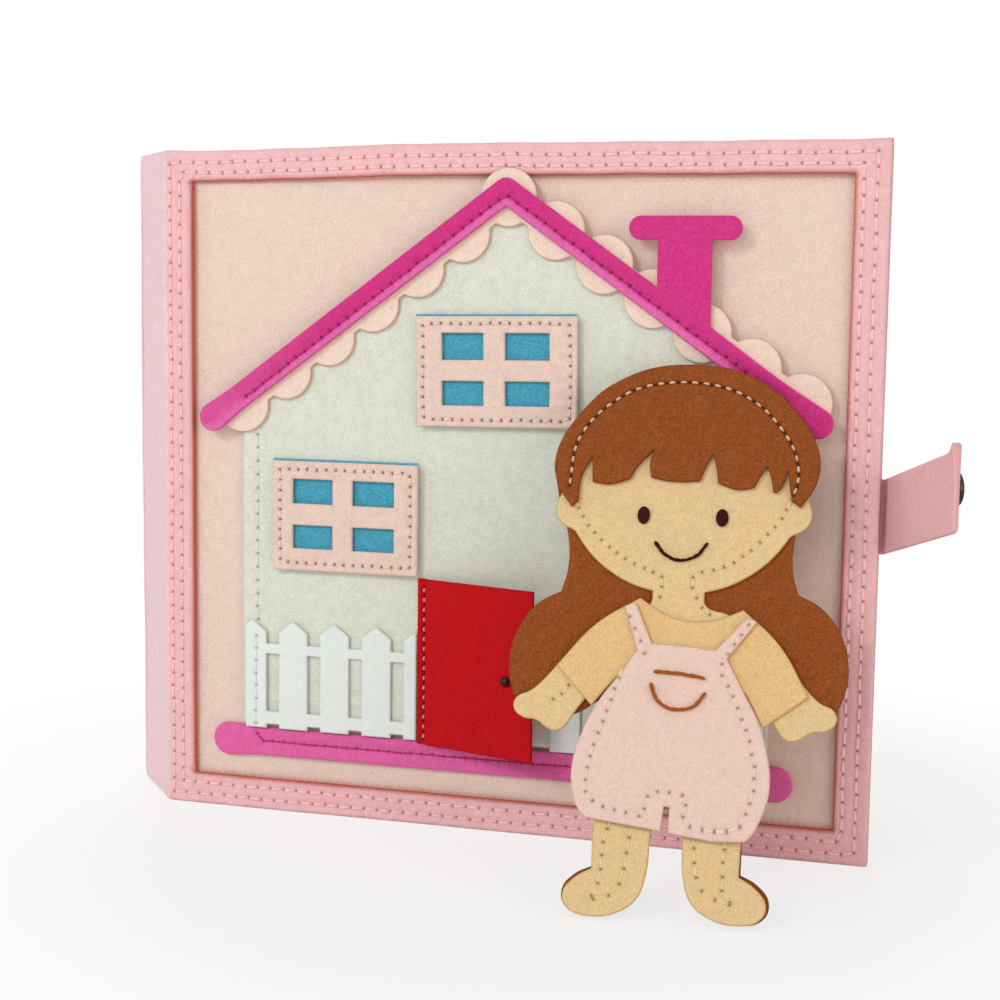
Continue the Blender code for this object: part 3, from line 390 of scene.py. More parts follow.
def edge_rings(loops, edge_round, starts, ends):
    """Points that follow the cut edges just inside them, to carry the rounding."""
    kept = []
    for loop in loops:
        normal = []
        before = loop - np.roll(loop, 1, axis=0)
        after = np.roll(loop, -1, axis=0) - loop
        for a, b in zip(before, after):
            a = a / max(np.hypot(*a), NO_LENGTH)
            b = b / max(np.hypot(*b), NO_LENGTH)
            n = np.array([-(a[1] + b[1]), a[0] + b[0]])
            length = np.hypot(*n)
            # A point at a sharp corner goes further out, but never far
            normal.append(n / max(length, 0.5) / max(length / 2, 0.6))
        for share in EDGE_RINGS_share:
            for sign in (1, -1):
                points = loop + np.array(normal) * sign * share * edge_round
                points = points[inside(points, starts, ends)]
                off = distance(points, starts, ends)
                kept.append(points[off > share * edge_round * RING_CLEAR_share])
    return kept


def spread(grid, clear, taken, starts, ends):
    """Points in even triangles inside the loops, clear of their edges and of points there."""
    low, high = starts.min(axis=0), starts.max(axis=0)
    across = np.arange(low[0] + grid / 2, high[0], grid)
    up = np.arange(low[1] + grid / 2, high[1], grid * TRIANGLE_share)
    xs, zs = np.meshgrid(across, up)
    xs = xs + (np.arange(len(up)) % 2)[:, None] * grid / 2
    cells = np.stack([xs.ravel(), zs.ravel()], axis=1)
    cells = cells[inside(cells, starts, ends)]
    cells = cells[distance(cells, starts, ends) > clear]
    side, apart = CELL_share * grid, APART_share * grid
    near = {}
    for point in taken:
        near.setdefault((int(point[0] // side), int(point[1] // side)), []).append(point)
    free = []
    for point in cells:
        i, j = int(point[0] // side), int(point[1] // side)
        around = (near.get((i + di, j + dj), ()) for di in (-1, 0, 1) for dj in (-1, 0, 1))
        if not any(
            (other[0] - point[0]) ** 2 + (other[1] - point[1]) ** 2 < apart**2
            for others in around for other in others
        ):
            free.append(point)
    return np.array(free).reshape(-1, 2)


def triangulated(points, loops, starts, ends):
    """The points in triangles that keep to the loops, and the loops' edges among them."""
    loop_edges, first = [], 0
    for loop in loops:
        size = len(loop)
        loop_edges += [(first + i, first + (i + 1) % size) for i in range(size)]
        first += size
    scale = 1000.0
    drawn = delaunay_2d_cdt(
        [Vector(point * scale) for point in points], loop_edges, [], 0, 1e-5, True
    )
    flat = np.array([tuple(vertex) for vertex in drawn[0]]) / scale
    index = {source: i for i, sources in enumerate(drawn[3]) for source in sources}
    triangles = np.array([face for face in drawn[2] if len(face) == 3])
    triangles = triangles[inside(flat[triangles].mean(axis=1), starts, ends)]
    return flat, triangles, [(index[i], index[j]) for i, j in loop_edges]


def mesh_piece(name, points, faces, material, slot, levels=()):
    """A smooth piece with its faces turned outwards, its finish, and its levels by point."""
    mesh = bpy.data.meshes.new(name)
    mesh.from_pydata(points.tolist(), [], faces)
    mesh.validate()
    for level, values in levels:
        made = mesh.attributes.new(level, "FLOAT", "POINT")
        made.data.foreach_set("value", np.concatenate(values).astype(np.float32))
    solid = bmesh.new()
    solid.from_mesh(mesh)
    bmesh.ops.recalc_face_normals(solid, faces=solid.faces)
    solid.to_mesh(mesh)
    solid.free()
    mesh.shade_smooth()
    mesh.materials.append(material)
    piece = bpy.data.objects.new(name, mesh)
    bpy.context.scene.collection.objects.link(piece)
    return piece


def felt(
    name, body, material, slot, place, node=None, loops=None, depths=None, rows=(),
    grid=3.0 * MM, step=None, uneven=0.12 * MM, seed=1, wrap=None, back=None, extra=(),
    shape=None, edge_round=EDGE_ROUND, groove=GROOVE, replaces=(), stitched_to=None,
    paler=None, thread=THREAD, dark_loop=None, recess=None,
):
    """A piece of felt cut to an outline, with rounded edges, and a groove and holes at its
    stitches, the holes painted darker as shade. The outline is a node's, or loops with two
    depths. wrap bends the piece, back gives the depth of its rim, shape moves its points, paler
    paints light on it, and the last two words paint shade along a window's edge and beside it."""
    if node:
        raw, near, far = loops_of(node, place)
    else:
        raw, (near, far) = [[Vector(point) for point in loop] for loop in loops], depths
    loops = [smooth_loop(loop, step or grid / 2) for loop in raw]
    starts = np.concatenate(loops)
    ends = np.concatenate([np.roll(loop, -1, axis=0) for loop in loops])
    kept = edge_rings(loops, edge_round, starts, ends)
    if rows:
        holes = np.concatenate([row.holes for row in rows])
        for radius, sides in HOLE_RINGS:
            turn = np.arange(sides) * 2 * math.pi / sides
            ring = np.stack([np.cos(turn), np.sin(turn)], axis=1) * radius
            kept.append((holes[:, None, :] + ring[None]).reshape(-1, 2))
        kept += [row.bed() for row in rows]
    if len(extra):
        kept.append(np.array(extra, float))
    special = np.concatenate(kept)
    special = special[inside(special, starts, ends)]
    special = special[distance(special, starts, ends) > EDGE_CLEAR]
    band = max(edge_round * EDGE_BAND_share, grid * GRID_BAND_share)
    cells = spread(grid, band, special, starts, ends)
    points = np.concatenate([starts, special, cells])
    flat, triangles, loop_edges = triangulated(points, loops, starts, ends)

    x, z = flat[:, 0], flat[:, 1]
    to_edge = (1 - np.clip(distance(flat, starts, ends) / edge_round, 0.0, 1.0)) ** 2
    drop = EDGE_DROP_share * (far - near) * to_edge
    ripple = uneven * wave(x, z, seed)
    pull, pit_and_shade = np.zeros(len(flat)), np.zeros(len(flat))
    for row in rows:
        bed = np.exp(-((distance(flat, row.starts, row.ends) / row.width) ** 2))
        pull = np.maximum(pull, groove * row.groove * bed)
    # The pit shape sinks the felt at each hole, and as a level it carries the shade painted there
    if rows:
        gap = distance(flat, holes, holes + NO_LENGTH)
        pit_and_shade = np.exp(-((gap / PIT_RADIUS) ** 2))
    # edge: a darker or paler tone towards the cut edges, unless a window's edge gets painted shade
    # instead, or a panel a painted shadow beside an edge
    tint = to_edge
    if dark_loop is not None:
        tint = np.exp(-((from_loop(flat, loops[dark_loop]) / WINDOW_EDGE_SHADE) ** 2))
    # beside an edge that lies on a panel, a painted shadow
    if recess is not None:
        tint = RECESS_SHADOW_share * np.exp(-from_loop(flat, np.array(recess, float)) / RECESS_SHADOW)
    levels = [("pit_and_shade", (pit_and_shade, np.zeros(len(flat)))), ("edge", (tint, tint))]
    # paler: painted light, on the spine side of the front border and below the roof strip's
    # stitches
    if paler:
        levels.append(("paler", [np.clip(paler(x, z), 0.0, 1.0)] * 2))

    front = near + drop + ripple + (pull + PIT * pit_and_shade)
    rear = far - drop + ripple
    if back is not None:
        rear = np.where(back(x, z) > far, back(x, z), rear)
    if shape is not None:
        x, front, rear, z = shape(x, front, rear, z)
    wrap = wrap or laid(place)
    total = len(flat)
    faces = [tuple(face) for face in triangles]
    faces += [tuple(face + total)[::-1] for face in triangles]
    faces += [(j, i, i + total, j + total) for i, j in loop_edges]
    placed = np.concatenate([wrap(x, front, z), wrap(x, rear, z)])
    piece = mesh_piece(name, placed, faces, material, slot, levels)
    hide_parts(*(replaces or (node,)))
    if body:
        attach(piece, body)
    if rows:
        threads(
            f"{name}_stitches", rows, lambda x, z: near + uneven * wave(x, z, seed), groove,
            body or stitched_to, slot, wrap, seed, thread, shape=shape,
        )
    return piece


def layer(node, body, place, material, slot, grid, name=None, **more):
    """A layer of felt in the outline of a flat node, which it stands for."""
    felt(name or f"{node}_felt", body, material, slot, place, node=node, grid=grid, **more)


def tube_faces(base, sections, sides):
    """The faces of a closed tube, from rings of points that follow one another."""
    faces = []
    for ring in range(base, base + (sections - 1) * sides, sides):
        for i in range(sides):
            a, b = ring + i, ring + (i + 1) % sides
            faces.append((a, b, b + sides, a + sides))
    last = base + (sections - 1) * sides
    return faces + [tuple(range(base, base + sides)), tuple(range(last, last + sides))[::-1]]


def threads(
    name, rows, lay, groove, body, slot, wrap, seed, radius=THREAD, material=None, shape=None,
    dip=0.5 * MM, apart=THREAD_APART,
):
    """The thread of some rows: a short bent strand from hole to hole, lying on the felt."""
    sections, sides = 7, 6
    draw = np.random.default_rng(seed + 77)
    verts, faces = [], []
    for row in rows:
        sunk = groove * row.groove
        for start, end in row.pairs:
            along = end - start
            length = math.hypot(*along)
            along = along / length
            clear = min(apart, THREAD_APART_share * length)
            start, length = start + along * clear, length - 2 * clear
            beside = np.array([-along[1], along[0]])
            width = radius * draw.uniform(*THREAD_WIDTHS_share)
            faces += tube_faces(len(verts), sections, sides)
            for k in range(sections):
                t = k / (sections - 1)
                arch = math.sin(math.pi * t) ** THREAD_BEND if 0 < t < 1 else 0.0
                middle = start + along * length * t
                depth = sunk - radius * THREAD_PROUD_share + dip * (1 - arch) ** 2
                r = width * (0.5 + 0.5 * arch)
                for i in range(sides):
                    turn = 2 * math.pi * i / sides
                    spot = middle + beside * r * math.cos(turn)
                    verts.append((spot[0], depth + r * math.sin(turn), spot[1]))
    verts = np.array(verts)
    x, depth, z = verts[:, 0], verts[:, 1] + lay(verts[:, 0], verts[:, 2]), verts[:, 2]
    if shape is not None:
        x, depth, _, z = shape(x, depth, depth, z)
    piece = mesh_piece(name, wrap(x, depth, z), faces, material or THREADS[slot], slot)
    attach(piece, body)
    return piece


# Materials


def linear(code):
    """A colour as linear light, from its sRGB hex code."""
    values = [int(code[i : i + 2], 16) / 255 for i in (0, 2, 4)]
    return (*[v / 12.92 if v <= 0.04045 else ((v + 0.055) / 1.055) ** 2.4 for v in values], 1.0)


def scaled(colour, factor):
    """A linear colour made darker or paler."""
    return (*[min(1.0, value * factor) for value in colour[:3]], 1.0)


def add_node(tree, kind, inputs=None, **settings):
    """A node with its settings, and its inputs set to values or linked to sockets."""
    made = tree.nodes.new(kind)
    for key, value in settings.items():
        setattr(made, key, value)
    for key, value in (inputs or {}).items():
        socket = made.inputs[key]
        if isinstance(value, bpy.types.NodeSocket):
            tree.links.new(value, socket)
        else:
            socket.default_value = value
    return made


def bare_material(name, roughness, specular=0.5, metallic=0.0, sheen=0.0, coat=0.0):
    """A new material's node tree and shader, with the constants of its surface, and its place."""
    made = bpy.data.materials.new(name)
    made.use_nodes = True
    tree = made.node_tree
    shader = tree.nodes["Principled BSDF"]
    for key, value in (
        ("Roughness", roughness), ("Specular IOR Level", specular), ("Metallic", metallic),
        ("Sheen Weight", sheen), ("Coat Weight", coat),
    ):
        shader.inputs[key].default_value = value
    return made, tree, shader, add_node(tree, "ShaderNodeTexCoord").outputs["Object"]


def speckled(tree, shader, spot, size, detail, dark, pale):
    """Runs the surface's colour from dark to pale in specks of a size, and gives their pattern."""
    specks = add_node(
        tree, "ShaderNodeTexNoise", {"Vector": spot, "Scale": 1 / size, "Detail": detail}
    ).outputs["Fac"]
    tone = add_node(
        tree, "ShaderNodeMix", {0: specks, 6: linear(dark), 7: linear(pale)}, data_type="RGBA"
    )
    tree.links.new(tone.outputs[2], shader.inputs["Base Color"])
    return specks


def pressed_felt(name, colour, edge=None, paler=None, cloud_share=0.4, fleck_share=1.0, hole=0.45):
    """Needle-pressed polyester felt: a matt mat of short fibres, faintly cloudy at 2.5 mm and
    flecked at 0.6 mm, which is coarser than the fibres are, with a soft bloom where it is seen
    side on. Its stitch holes get a darker painted shade, as dark as hole sets; paler paints
    light on it, and edge gives a tone towards its cut edges, or painted shade by a window."""
    made, tree, shader, spot = bare_material(name, 0.95, 0.12, sheen=0.1)
    base = linear(colour)
    shader.inputs["Sheen Roughness"].default_value = 0.5
    shader.inputs["Sheen Tint"].default_value = scaled(base, 1.1)
    cloud = add_node(
        tree, "ShaderNodeTexNoise",
        {"Vector": spot, "Scale": 1 / (2.5 * MM), "Detail": 3.0, "Roughness": 0.6},
    )
    fleck = add_node(
        tree, "ShaderNodeTexNoise",
        {"Vector": spot, "Scale": 1 / (0.6 * MM), "Detail": 4.0, "Roughness": 0.75},
    )
    less = add_node(
        tree, "ShaderNodeMath", {0: cloud.outputs["Fac"], 1: cloud_share, 2: 0.5 - cloud_share / 2},
        operation="MULTIPLY_ADD",
    )
    both = add_node(
        tree, "ShaderNodeMath", {0: less.outputs[0], 1: fleck.outputs["Fac"]}, operation="ADD"
    )
    tone = add_node(
        tree, "ShaderNodeMapRange",
        {"Value": both.outputs[0], "From Min": 0.7, "From Max": 1.3, "To Min": 0.0, "To Max": 1.0},
    )

    def mottled(code):
        """A colour that the clouds and flecks make darker and paler."""
        ramp = add_node(tree, "ShaderNodeValToRGB", {"Fac": tone.outputs["Result"]})
        ramp.color_ramp.elements[0].color = scaled(linear(code), 1 - 0.2 * fleck_share)
        ramp.color_ramp.elements[1].color = scaled(linear(code), 1 + 0.17 * fleck_share)
        return ramp.outputs["Color"]

    face = mottled(colour)
    for level, over in (
        # painted light
        ("paler", mottled(paler) if paler else None),
        # a tone towards the cut edges, or painted shade along a window's edge and on a panel beside
        # it
        ("edge", linear(edge) if edge else scaled(base, 0.78)),
        # painted shade in the stitch holes, as dark as hole sets
        ("pit_and_shade", (*[value**2.2 * hole for value in base[:3]], 1.0)),
    ):
        if over is not None:
            where = add_node(tree, "ShaderNodeAttribute", attribute_name=level)
            face = add_node(
                tree, "ShaderNodeMix", {0: where.outputs["Fac"], 6: face, 7: over},
                data_type="RGBA",
            ).outputs[2]
    tree.links.new(face, shader.inputs["Base Color"])
    fibre = add_node(
        tree, "ShaderNodeTexNoise",
        {"Vector": spot, "Scale": 1 / (0.45 * MM), "Detail": 5.0, "Roughness": 0.75,
         "Distortion": 0.8},
    )
    bump = add_node(
        tree, "ShaderNodeBump",
        {"Height": fibre.outputs["Fac"], "Strength": 0.5, "Distance": 0.3 * MM},
    )
    tree.links.new(bump.outputs[0], shader.inputs["Normal"])
    return made


def sewing_thread(name, colour, dark, specular=0.3):
    """Spun polyester thread: two plies whose twist, too fine to show, is drawn at 0.5 mm."""
    made, tree, shader, spot = bare_material(name, 0.65, specular)
    ply = speckled(tree, shader, spot, 0.5 * MM, 2.0, dark, colour)
    bump = add_node(
        tree, "ShaderNodeBump", {"Height": ply, "Strength": 0.4, "Distance": 0.1 * MM}
    )
    tree.links.new(bump.outputs[0], shader.inputs["Normal"])
    return made


def grey_board():
    """Pressed grey board: a dull, even surface with short pulp flecks about 1 mm long."""
    made, tree, shader, spot = bare_material("pressed_grey_board", 0.85, 0.3)
    pulp = speckled(tree, shader, spot, 1.0 * MM, 4.0, "BBAA8B", "D3C4A6")
    bump = add_node(
        tree, "ShaderNodeBump", {"Height": pulp, "Strength": 0.3, "Distance": 0.1 * MM}
    )
    tree.links.new(bump.outputs[0], shader.inputs["Normal"])
    return made


def blackened_brass():
    """Stamped brass with a dark chemical finish: a soft dark shine, rubbed in places."""
    made, tree, shader, spot = bare_material("blackened_brass", 0.38, metallic=1.0)
    rub = speckled(tree, shader, spot, 1.5 * MM, 4.0, "2A2622", "574E44")
    rough = add_node(tree, "ShaderNodeMapRange", {"Value": rub, "To Min": 0.28, "To Max": 0.5})
    tree.links.new(rough.outputs["Result"], shader.inputs["Roughness"])
    return made


def lacquered_bead():
    """A turned wooden bead under dark lacquer: a small round highlight, and faint grain 0.4 mm
    apart that runs up it."""
    made, tree, shader, spot = bare_material("lacquered_wooden_bead", 0.4, 0.2, coat=0.1)
    drawn = add_node(tree, "ShaderNodeMapping", {"Vector": spot, "Scale": (1.0, 1.0, 0.2)})
    speckled(tree, shader, drawn.outputs[0], 0.4 * MM, 3.0, "1E0E0B", "3A1D17")
    return made


PINK = pressed_felt("pressed_felt_pink", "FBC1C5", fleck_share=1.2)
# The spine side of the fold is painted paler, as light; along the window's cut edge it gets a dark
# red painted shade
PINK_TO_SPINE = pressed_felt(
    "pressed_felt_pink_and_spine", "FBC1C5", edge="C4604C", paler="FFD6DD", fleck_share=1.2
)
# A redder copy of the border pink, to make up for the shade that the strap lies in
STRAP_PINK_LIT = pressed_felt("pressed_felt_strap_lit", "FFC0C4", fleck_share=1.2)
# Its edge colour is the shadow painted on the panel beside the window's edge
PEACH = pressed_felt(
    "pressed_felt_peach", "EFD6CA", edge="C66C52", cloud_share=0.25, fleck_share=1.3
)
LINING = pressed_felt("pressed_felt_lining", "F0C4C6")
MINT = pressed_felt("pressed_felt_mint", "DFE4D7", edge="CBD2BC", fleck_share=1.2)
SHELL = pressed_felt("pressed_felt_shell", "F7DDCC", edge="D9AB8F")
# Its paler tone is painted light on the roof strip below its stitches, and paler towards its left
# end
MAGENTA = pressed_felt(
    "pressed_felt_magenta", "D53B8A", edge="DC56A0", paler="EE6EB2", cloud_share=0.25,
    fleck_share=2.0,
)
GROUND = pressed_felt(
    "pressed_felt_rose", "E669AC", edge="EB78B6", cloud_share=0.3, fleck_share=1.6
)
SASH = pressed_felt("pressed_felt_sash", "EBD1C5", edge="ECCFC3", fleck_share=1.3, hole=0.04)
BLUE = pressed_felt(
    "pressed_felt_blue", "4FA6C3", edge="78C4DC", cloud_share=0.3, fleck_share=3.2
)
RED = pressed_felt("pressed_felt_red", "C4121A", cloud_share=0.2, fleck_share=2.0)
WHITE = pressed_felt("pressed_felt_white", "E9F2F0", cloud_share=0.2, fleck_share=0.6)
CREAM = pressed_felt("pressed_felt_cream", "F8F1E6")
HAIR = pressed_felt("pressed_felt_chestnut", "945024", cloud_share=0.2, fleck_share=3.4)
SKIN = pressed_felt(
    "pressed_felt_skin", "E5CA98", edge="CDA96C", cloud_share=0.25, fleck_share=1.3
)
SHIRT = pressed_felt(
    "pressed_felt_straw", "E6C48C", edge="D0A76A", cloud_share=0.25, fleck_share=1.4
)
ROMPER = pressed_felt("pressed_felt_petal", "ECD0C4", edge="DDB5A4", cloud_share=0.25)

SATIN = sewing_thread("embroidery_thread_brown", "42100A", "2A0805", specular=0.1)
POCKET = sewing_thread("embroidery_thread_rust", "BA6424", "93440F", specular=0.1)
BOARD = grey_board()
METAL = blackened_brass()
KNOB = lacquered_bead()
THREADS = {
    f"{felt_colour}_felt": sewing_thread(f"sewing_thread_{felt_colour}", colour, dark)
    for felt_colour, colour, dark in (
        ("border", "FDD9DD", "F7C5CB"), ("wall", "EEF3E6", "D8DFCB"), ("roof", "CE3B8C", "A0206A"),
        ("sash", "F7E2D8", "EACBBD"), ("door", "F5AFA6", "D98078"), ("fence", "EEF3F0", "D5DEDA"),
        ("hair", "E6D2B4", "BFA27C"), ("skin", "F6E6C2", "E2C893"),
        ("dungarees", "F9E8E0", "EACDC0"),
    )
}


# The covers: one sheet from the front cover round its fold and over the spine, and one for the back

FOLD_INSIDE = 0.9 * FOLD_RADIUS  # the deepest that the felt reaches in its fold
FOLD_PLACES_share = (-2.0, -1.0, -0.35, 0.0, 0.25, 0.5, 0.75, 1.0, 1.35, 2.0, 3.0)  # of its arc
BORDER_ROWS = (  # left, bottom, right, top
    (1.5 * MM, 3.2 * MM, 220.7 * MM, 206.4 * MM),
    (4.8 * MM, 6.9 * MM, 216.9 * MM, 203.2 * MM),
)
TOP_WAVE = 0.45 * MM
TOP_LIFT = 1.1 * MM


def bent_sheet(place, side):
    """Carries a flat sheet round a fold, which its lengths below zero pass, or above it for side
    -1, and gives the length of the bend."""
    turn = math.pi - FOLD_ANGLE
    arc = turn * FOLD_RADIUS
    put = laid(place)

    def wrap(across, depth, height):
        over = -across * side
        angle = np.clip(over / FOLD_RADIUS, 0.0, turn)
        rest = np.maximum(over - arc, 0.0)
        bending = (over > 0) & (over < arc)
        radius = FOLD_RADIUS - np.where(bending, np.minimum(depth, FOLD_INSIDE), depth)
        x = -radius * np.sin(angle) - rest * np.cos(angle)
        y = FOLD_RADIUS - radius * np.cos(angle) + rest * np.sin(angle)
        x = np.where(over <= 0, -over, x) * side
        return put(x, np.where(over <= 0, depth, y), height)

    return wrap, arc


def rim_back(sign):
    """The depth of the rim that turns in along the top, the bottom and the fore-edge."""

    def back(across, height):
        reach = across * sign
        edge = (height < RIM) | (height > COVER_HEIGHT - RIM) | (reach > COVER_LENGTH - RIM)
        return np.where(edge & (reach > INNER_START), RIM_BACK, 0.0)

    return back


def border_rows(sign, seed):
    """Two rows of stitches round a cover, a little uneven as they are sewn by hand."""
    rows = []
    for offset, sides in enumerate(BORDER_ROWS):
        path = [(sign * across, up) for across, up in box_path(*sides)]
        rows.append(Row(path, 4.4 * MM, True, groove=1.1, width=1.3 * MM, seed=seed + offset))
    return rows


def fold_points(sign, arc):
    """Points along a fold and along the rim, close enough to bend there."""
    points = [
        (-sign * arc * share, up)
        for share in FOLD_PLACES_share
        for up in np.arange(1.5 * MM, COVER_HEIGHT, 3.0 * MM)
    ]
    for reach in (RIM - 0.1 * MM, RIM + 0.1 * MM):
        points += [
            (sign * across, up)
            for across in np.arange(INNER_START + 0.5 * MM, COVER_LENGTH - reach, 2.0 * MM)
            for up in (reach, COVER_HEIGHT - reach)
        ]
        points += [
            (sign * (COVER_LENGTH - reach), up)
            for up in np.arange(reach, COVER_HEIGHT - reach + 1 * MM, 2.0 * MM)
        ]
    return points


def cover_shape(sign, arc):
    """Thins the felt in its fold, and lifts its top edge and lets it run a little uneven."""

    def shape(across, front, rear, height):
        over = -across * sign
        away = np.maximum(np.maximum(-over, over - arc), 0.0)
        rear = np.minimum(rear, FOLD_INSIDE + 0.95 * away)
        half = COVER_HEIGHT / 2
        # From none at 0.72 of the half height to all of it at 0.92, and in full 90 mm from the fold
        out = np.clip(np.abs(height - half) / half * 5 - 3.6, 0.0, 1.0)
        grow = np.clip((-over - 30 * MM) / (60 * MM), 0.0, 1.0)
        lift = TOP_WAVE * wave(across, height * 0, 8) + TOP_LIFT * grow
        return across, front, rear, height + np.where(height > half, lift, 0.0) * out

    return shape


def cover_sheet(name, material, place, sign, loops, rows_seed, **more):
    """One sheet of outer felt, bent round its fold, with its rim turned in."""
    wrap, arc = bent_sheet(place, sign)
    return felt(
        name, None, material, "border_felt", place, loops=loops, depths=(0.0, OUTER_FELT),
        step=2.5 * MM, uneven=0.25 * MM, wrap=wrap, back=rim_back(sign),
        extra=fold_points(sign, arc), shape=cover_shape(sign, arc),
        rows=border_rows(sign, rows_seed), edge_round=0.8 * MM, thread=COVER_THREAD, **more,
    )


def covers():
    """The front border with the spine, and the back."""
    arc = (math.pi - FOLD_ANGLE) * FOLD_RADIUS
    far_end = arc + SPINE_WIDTH - FOLD_REACH
    left, bottom, right, top = WINDOW
    window = [(left, bottom), (left, top), (right, top), (right, bottom)]
    sheet = cover_sheet(
        "front_border", PINK_TO_SPINE, FRONT, 1,
        [box_path(-far_end, 0.0, COVER_LENGTH, COVER_HEIGHT), window], 5, grid=3.4 * MM, seed=3,
        stitched_to="front_cover", replaces=("front_frame", "front_fold", "spine_cover"),
        # Painted shade along the window's cut edge, and painted light on the spine side of the fold
        dark_loop=1, paler=lambda x, z: 0.5 - x / (2 * MM),
    )
    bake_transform(sheet)

    near_end = arc + FOLD_REACH - 0.15 * MM
    sheet = cover_sheet(
        "back_cover_felt", PINK, BACK, -1,
        [box_path(-COVER_LENGTH, 0.0, near_end, COVER_HEIGHT)], 9, grid=3.8 * MM, seed=4,
        stitched_to="back_cover", replaces=("back_fold", "back_cover_sheet"),
    )
    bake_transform(sheet)


# The house on the front cover

ROOF_PLACES_share = ((0.040, 0.6115), (0.504, 0.981), (0.962, 0.631))
GROUND_ENDS_share = (0.0315, 0.941)
GROUND_HEIGHT_share = 0.064
WALL_ROW = ((31.0 * MM, 28.0 * MM), (31.4 * MM, 134.0 * MM))
FENCE_ROW = ((31.1 * MM, 28.6 * MM), (31.2 * MM, 57.0 * MM))


def shares(points):
    """Places in the window of the front cover, from shares of it."""
    left, bottom, right, top = WINDOW
    return [(left + (right - left) * a, bottom + (top - bottom) * b) for a, b in points]


def cut_short(start, end, first, last):
    """The two ends of a line, moved in from its start and its end."""
    a, b = np.array(start), np.array(end)
    way = (b - a) / np.hypot(*(b - a))
    return a + way * first, b - way * last


def house():
    """The panel behind the window, and the layers on it."""
    on_cover = ("front_cover", FRONT)
    left, bottom, right, top = WINDOW
    close = []  # points beside the window's edge, to carry the shadow painted on the panel there
    for reach in (-0.4 * MM, 0.3 * MM, 0.8 * MM, 1.4 * MM, 2.2 * MM, 3.2 * MM):
        corners = box_path(left + reach, bottom + reach, right - reach, top - reach)
        close += [tuple(point) for point in along_path(corners, 2.4 * MM, True)]
    layer(
        "front_panel", *on_cover, PEACH, "panel_felt", 6 * MM, extra=close,
        recess=box_path(*WINDOW),
    )
    layer(
        "house_wall", *on_cover, MINT, "wall_felt", 5 * MM, step=2.5 * MM, uneven=0.2 * MM,
        rows=[Row(WALL_ROW, 4.2 * MM, seed=21)],
    )
    layer(
        "scallop_trim", *on_cover, SHELL, "scallop_felt", 3 * MM, step=1.0 * MM,
        uneven=0.15 * MM, seed=6,
    )

    drops = (1.6 * MM, 1.2 * MM, 0.6 * MM)
    line = [np.array(at) - (0, down) for at, down in zip(shares(ROOF_PLACES_share), drops)]
    eave = line[0][0]
    pale_to = [*line[:2], line[1] + (line[2] - line[1]) * 0.7, line[2] - (0, 9 * MM)]

    def under_row(x, z):
        """The lower side past the stitches, painted paler as light on its upturned slope, and
        paler towards the left end.
        """
        border = np.interp(x, [point[0] for point in pale_to], [point[1] for point in pale_to])
        return np.maximum((border - z) / (1.2 * MM), 0.45 - (x - eave) / (90 * MM))

    rise, _ = cut_short(line[0], line[1], 14 * MM, 0.0)
    _, fall = cut_short(line[1], line[2], 0.0, 12 * MM)
    roof_row = Row([rise, line[1], fall], 3.5 * MM, groove=3.2, width=1.6 * MM, seed=31)
    layer(
        "roof_trim", *on_cover, MAGENTA, "roof_felt", 2.6 * MM, step=1.0 * MM, rows=[roof_row],
        uneven=0.15 * MM, seed=7, paler=under_row,
    )
    (start, up), (end, _) = shares([(share, GROUND_HEIGHT_share) for share in GROUND_ENDS_share])
    path = curved([
        (start + 15 * MM, up + 2.2 * MM), (start + 15.6 * MM, up + 0.3 * MM),
        (start + 18 * MM, up),
    ])
    path.append((end - 8 * MM, up))
    layer(
        "ground_strip", *on_cover, GROUND, "roof_felt", 2.6 * MM, step=1.0 * MM,
        uneven=0.15 * MM, rows=[Row(path, 3.6 * MM, groove=2.4, width=1.5 * MM, seed=33)], seed=8,
    )
    for side, reach in (("lower", 2.5 * MM), ("upper", 2.2 * MM)):
        layer(
            f"{side}_window_pane", *on_cover, BLUE, "pane_felt", 3 * MM,
            name=f"{side}_pane_felt", step=2.0 * MM, uneven=0.1 * MM, seed=11,
        )
        sash = f"{side}_window_frame"
        loops = loops_of(sash, FRONT)[0]
        outside = max(loops, key=lambda loop: max(p.x for p in loop) - min(p.x for p in loop))
        path = inset(smooth_loop(outside, 1.5 * MM), reach)
        layer(
            sash, *on_cover, SASH, "sash_felt", 2.2 * MM, name=f"{side}_sash_felt",
            step=1.2 * MM, rows=[Row(path, 3.1 * MM, True, seed=12)], seed=12,
            groove=0.22 * MM,
        )
    for side, rows in (("left", [Row(FENCE_ROW, 4.2 * MM, seed=22)]), ("right", ())):
        layer(
            f"fence_{side}", *on_cover, WHITE, "fence_felt", 2.4 * MM, step=1.2 * MM,
            uneven=0.15 * MM, seed=14, rows=rows,
        )


# The door and the strap, which bend over their hinges

DOOR_BEND = (-1.6 * MM, 1.8 * MM)  # from the axis to where the felt bends, and is flat again
DOOR_STEPS = 8
DOOR_PATH_END = 80.0 * MM  # past the leaf's far edge
DOOR_LEAST = 1.2 * MM  # of the leaf's own edge, which the bend takes the place of
DOOR_ROW = 2.4 * MM
STRAP_MEET = 1.6 * MM  # from the swing's axis to where its two pieces meet
STRAP_TURN_RADIUS = 1.2 * MM
CURL_REACH = 7.5 * MM


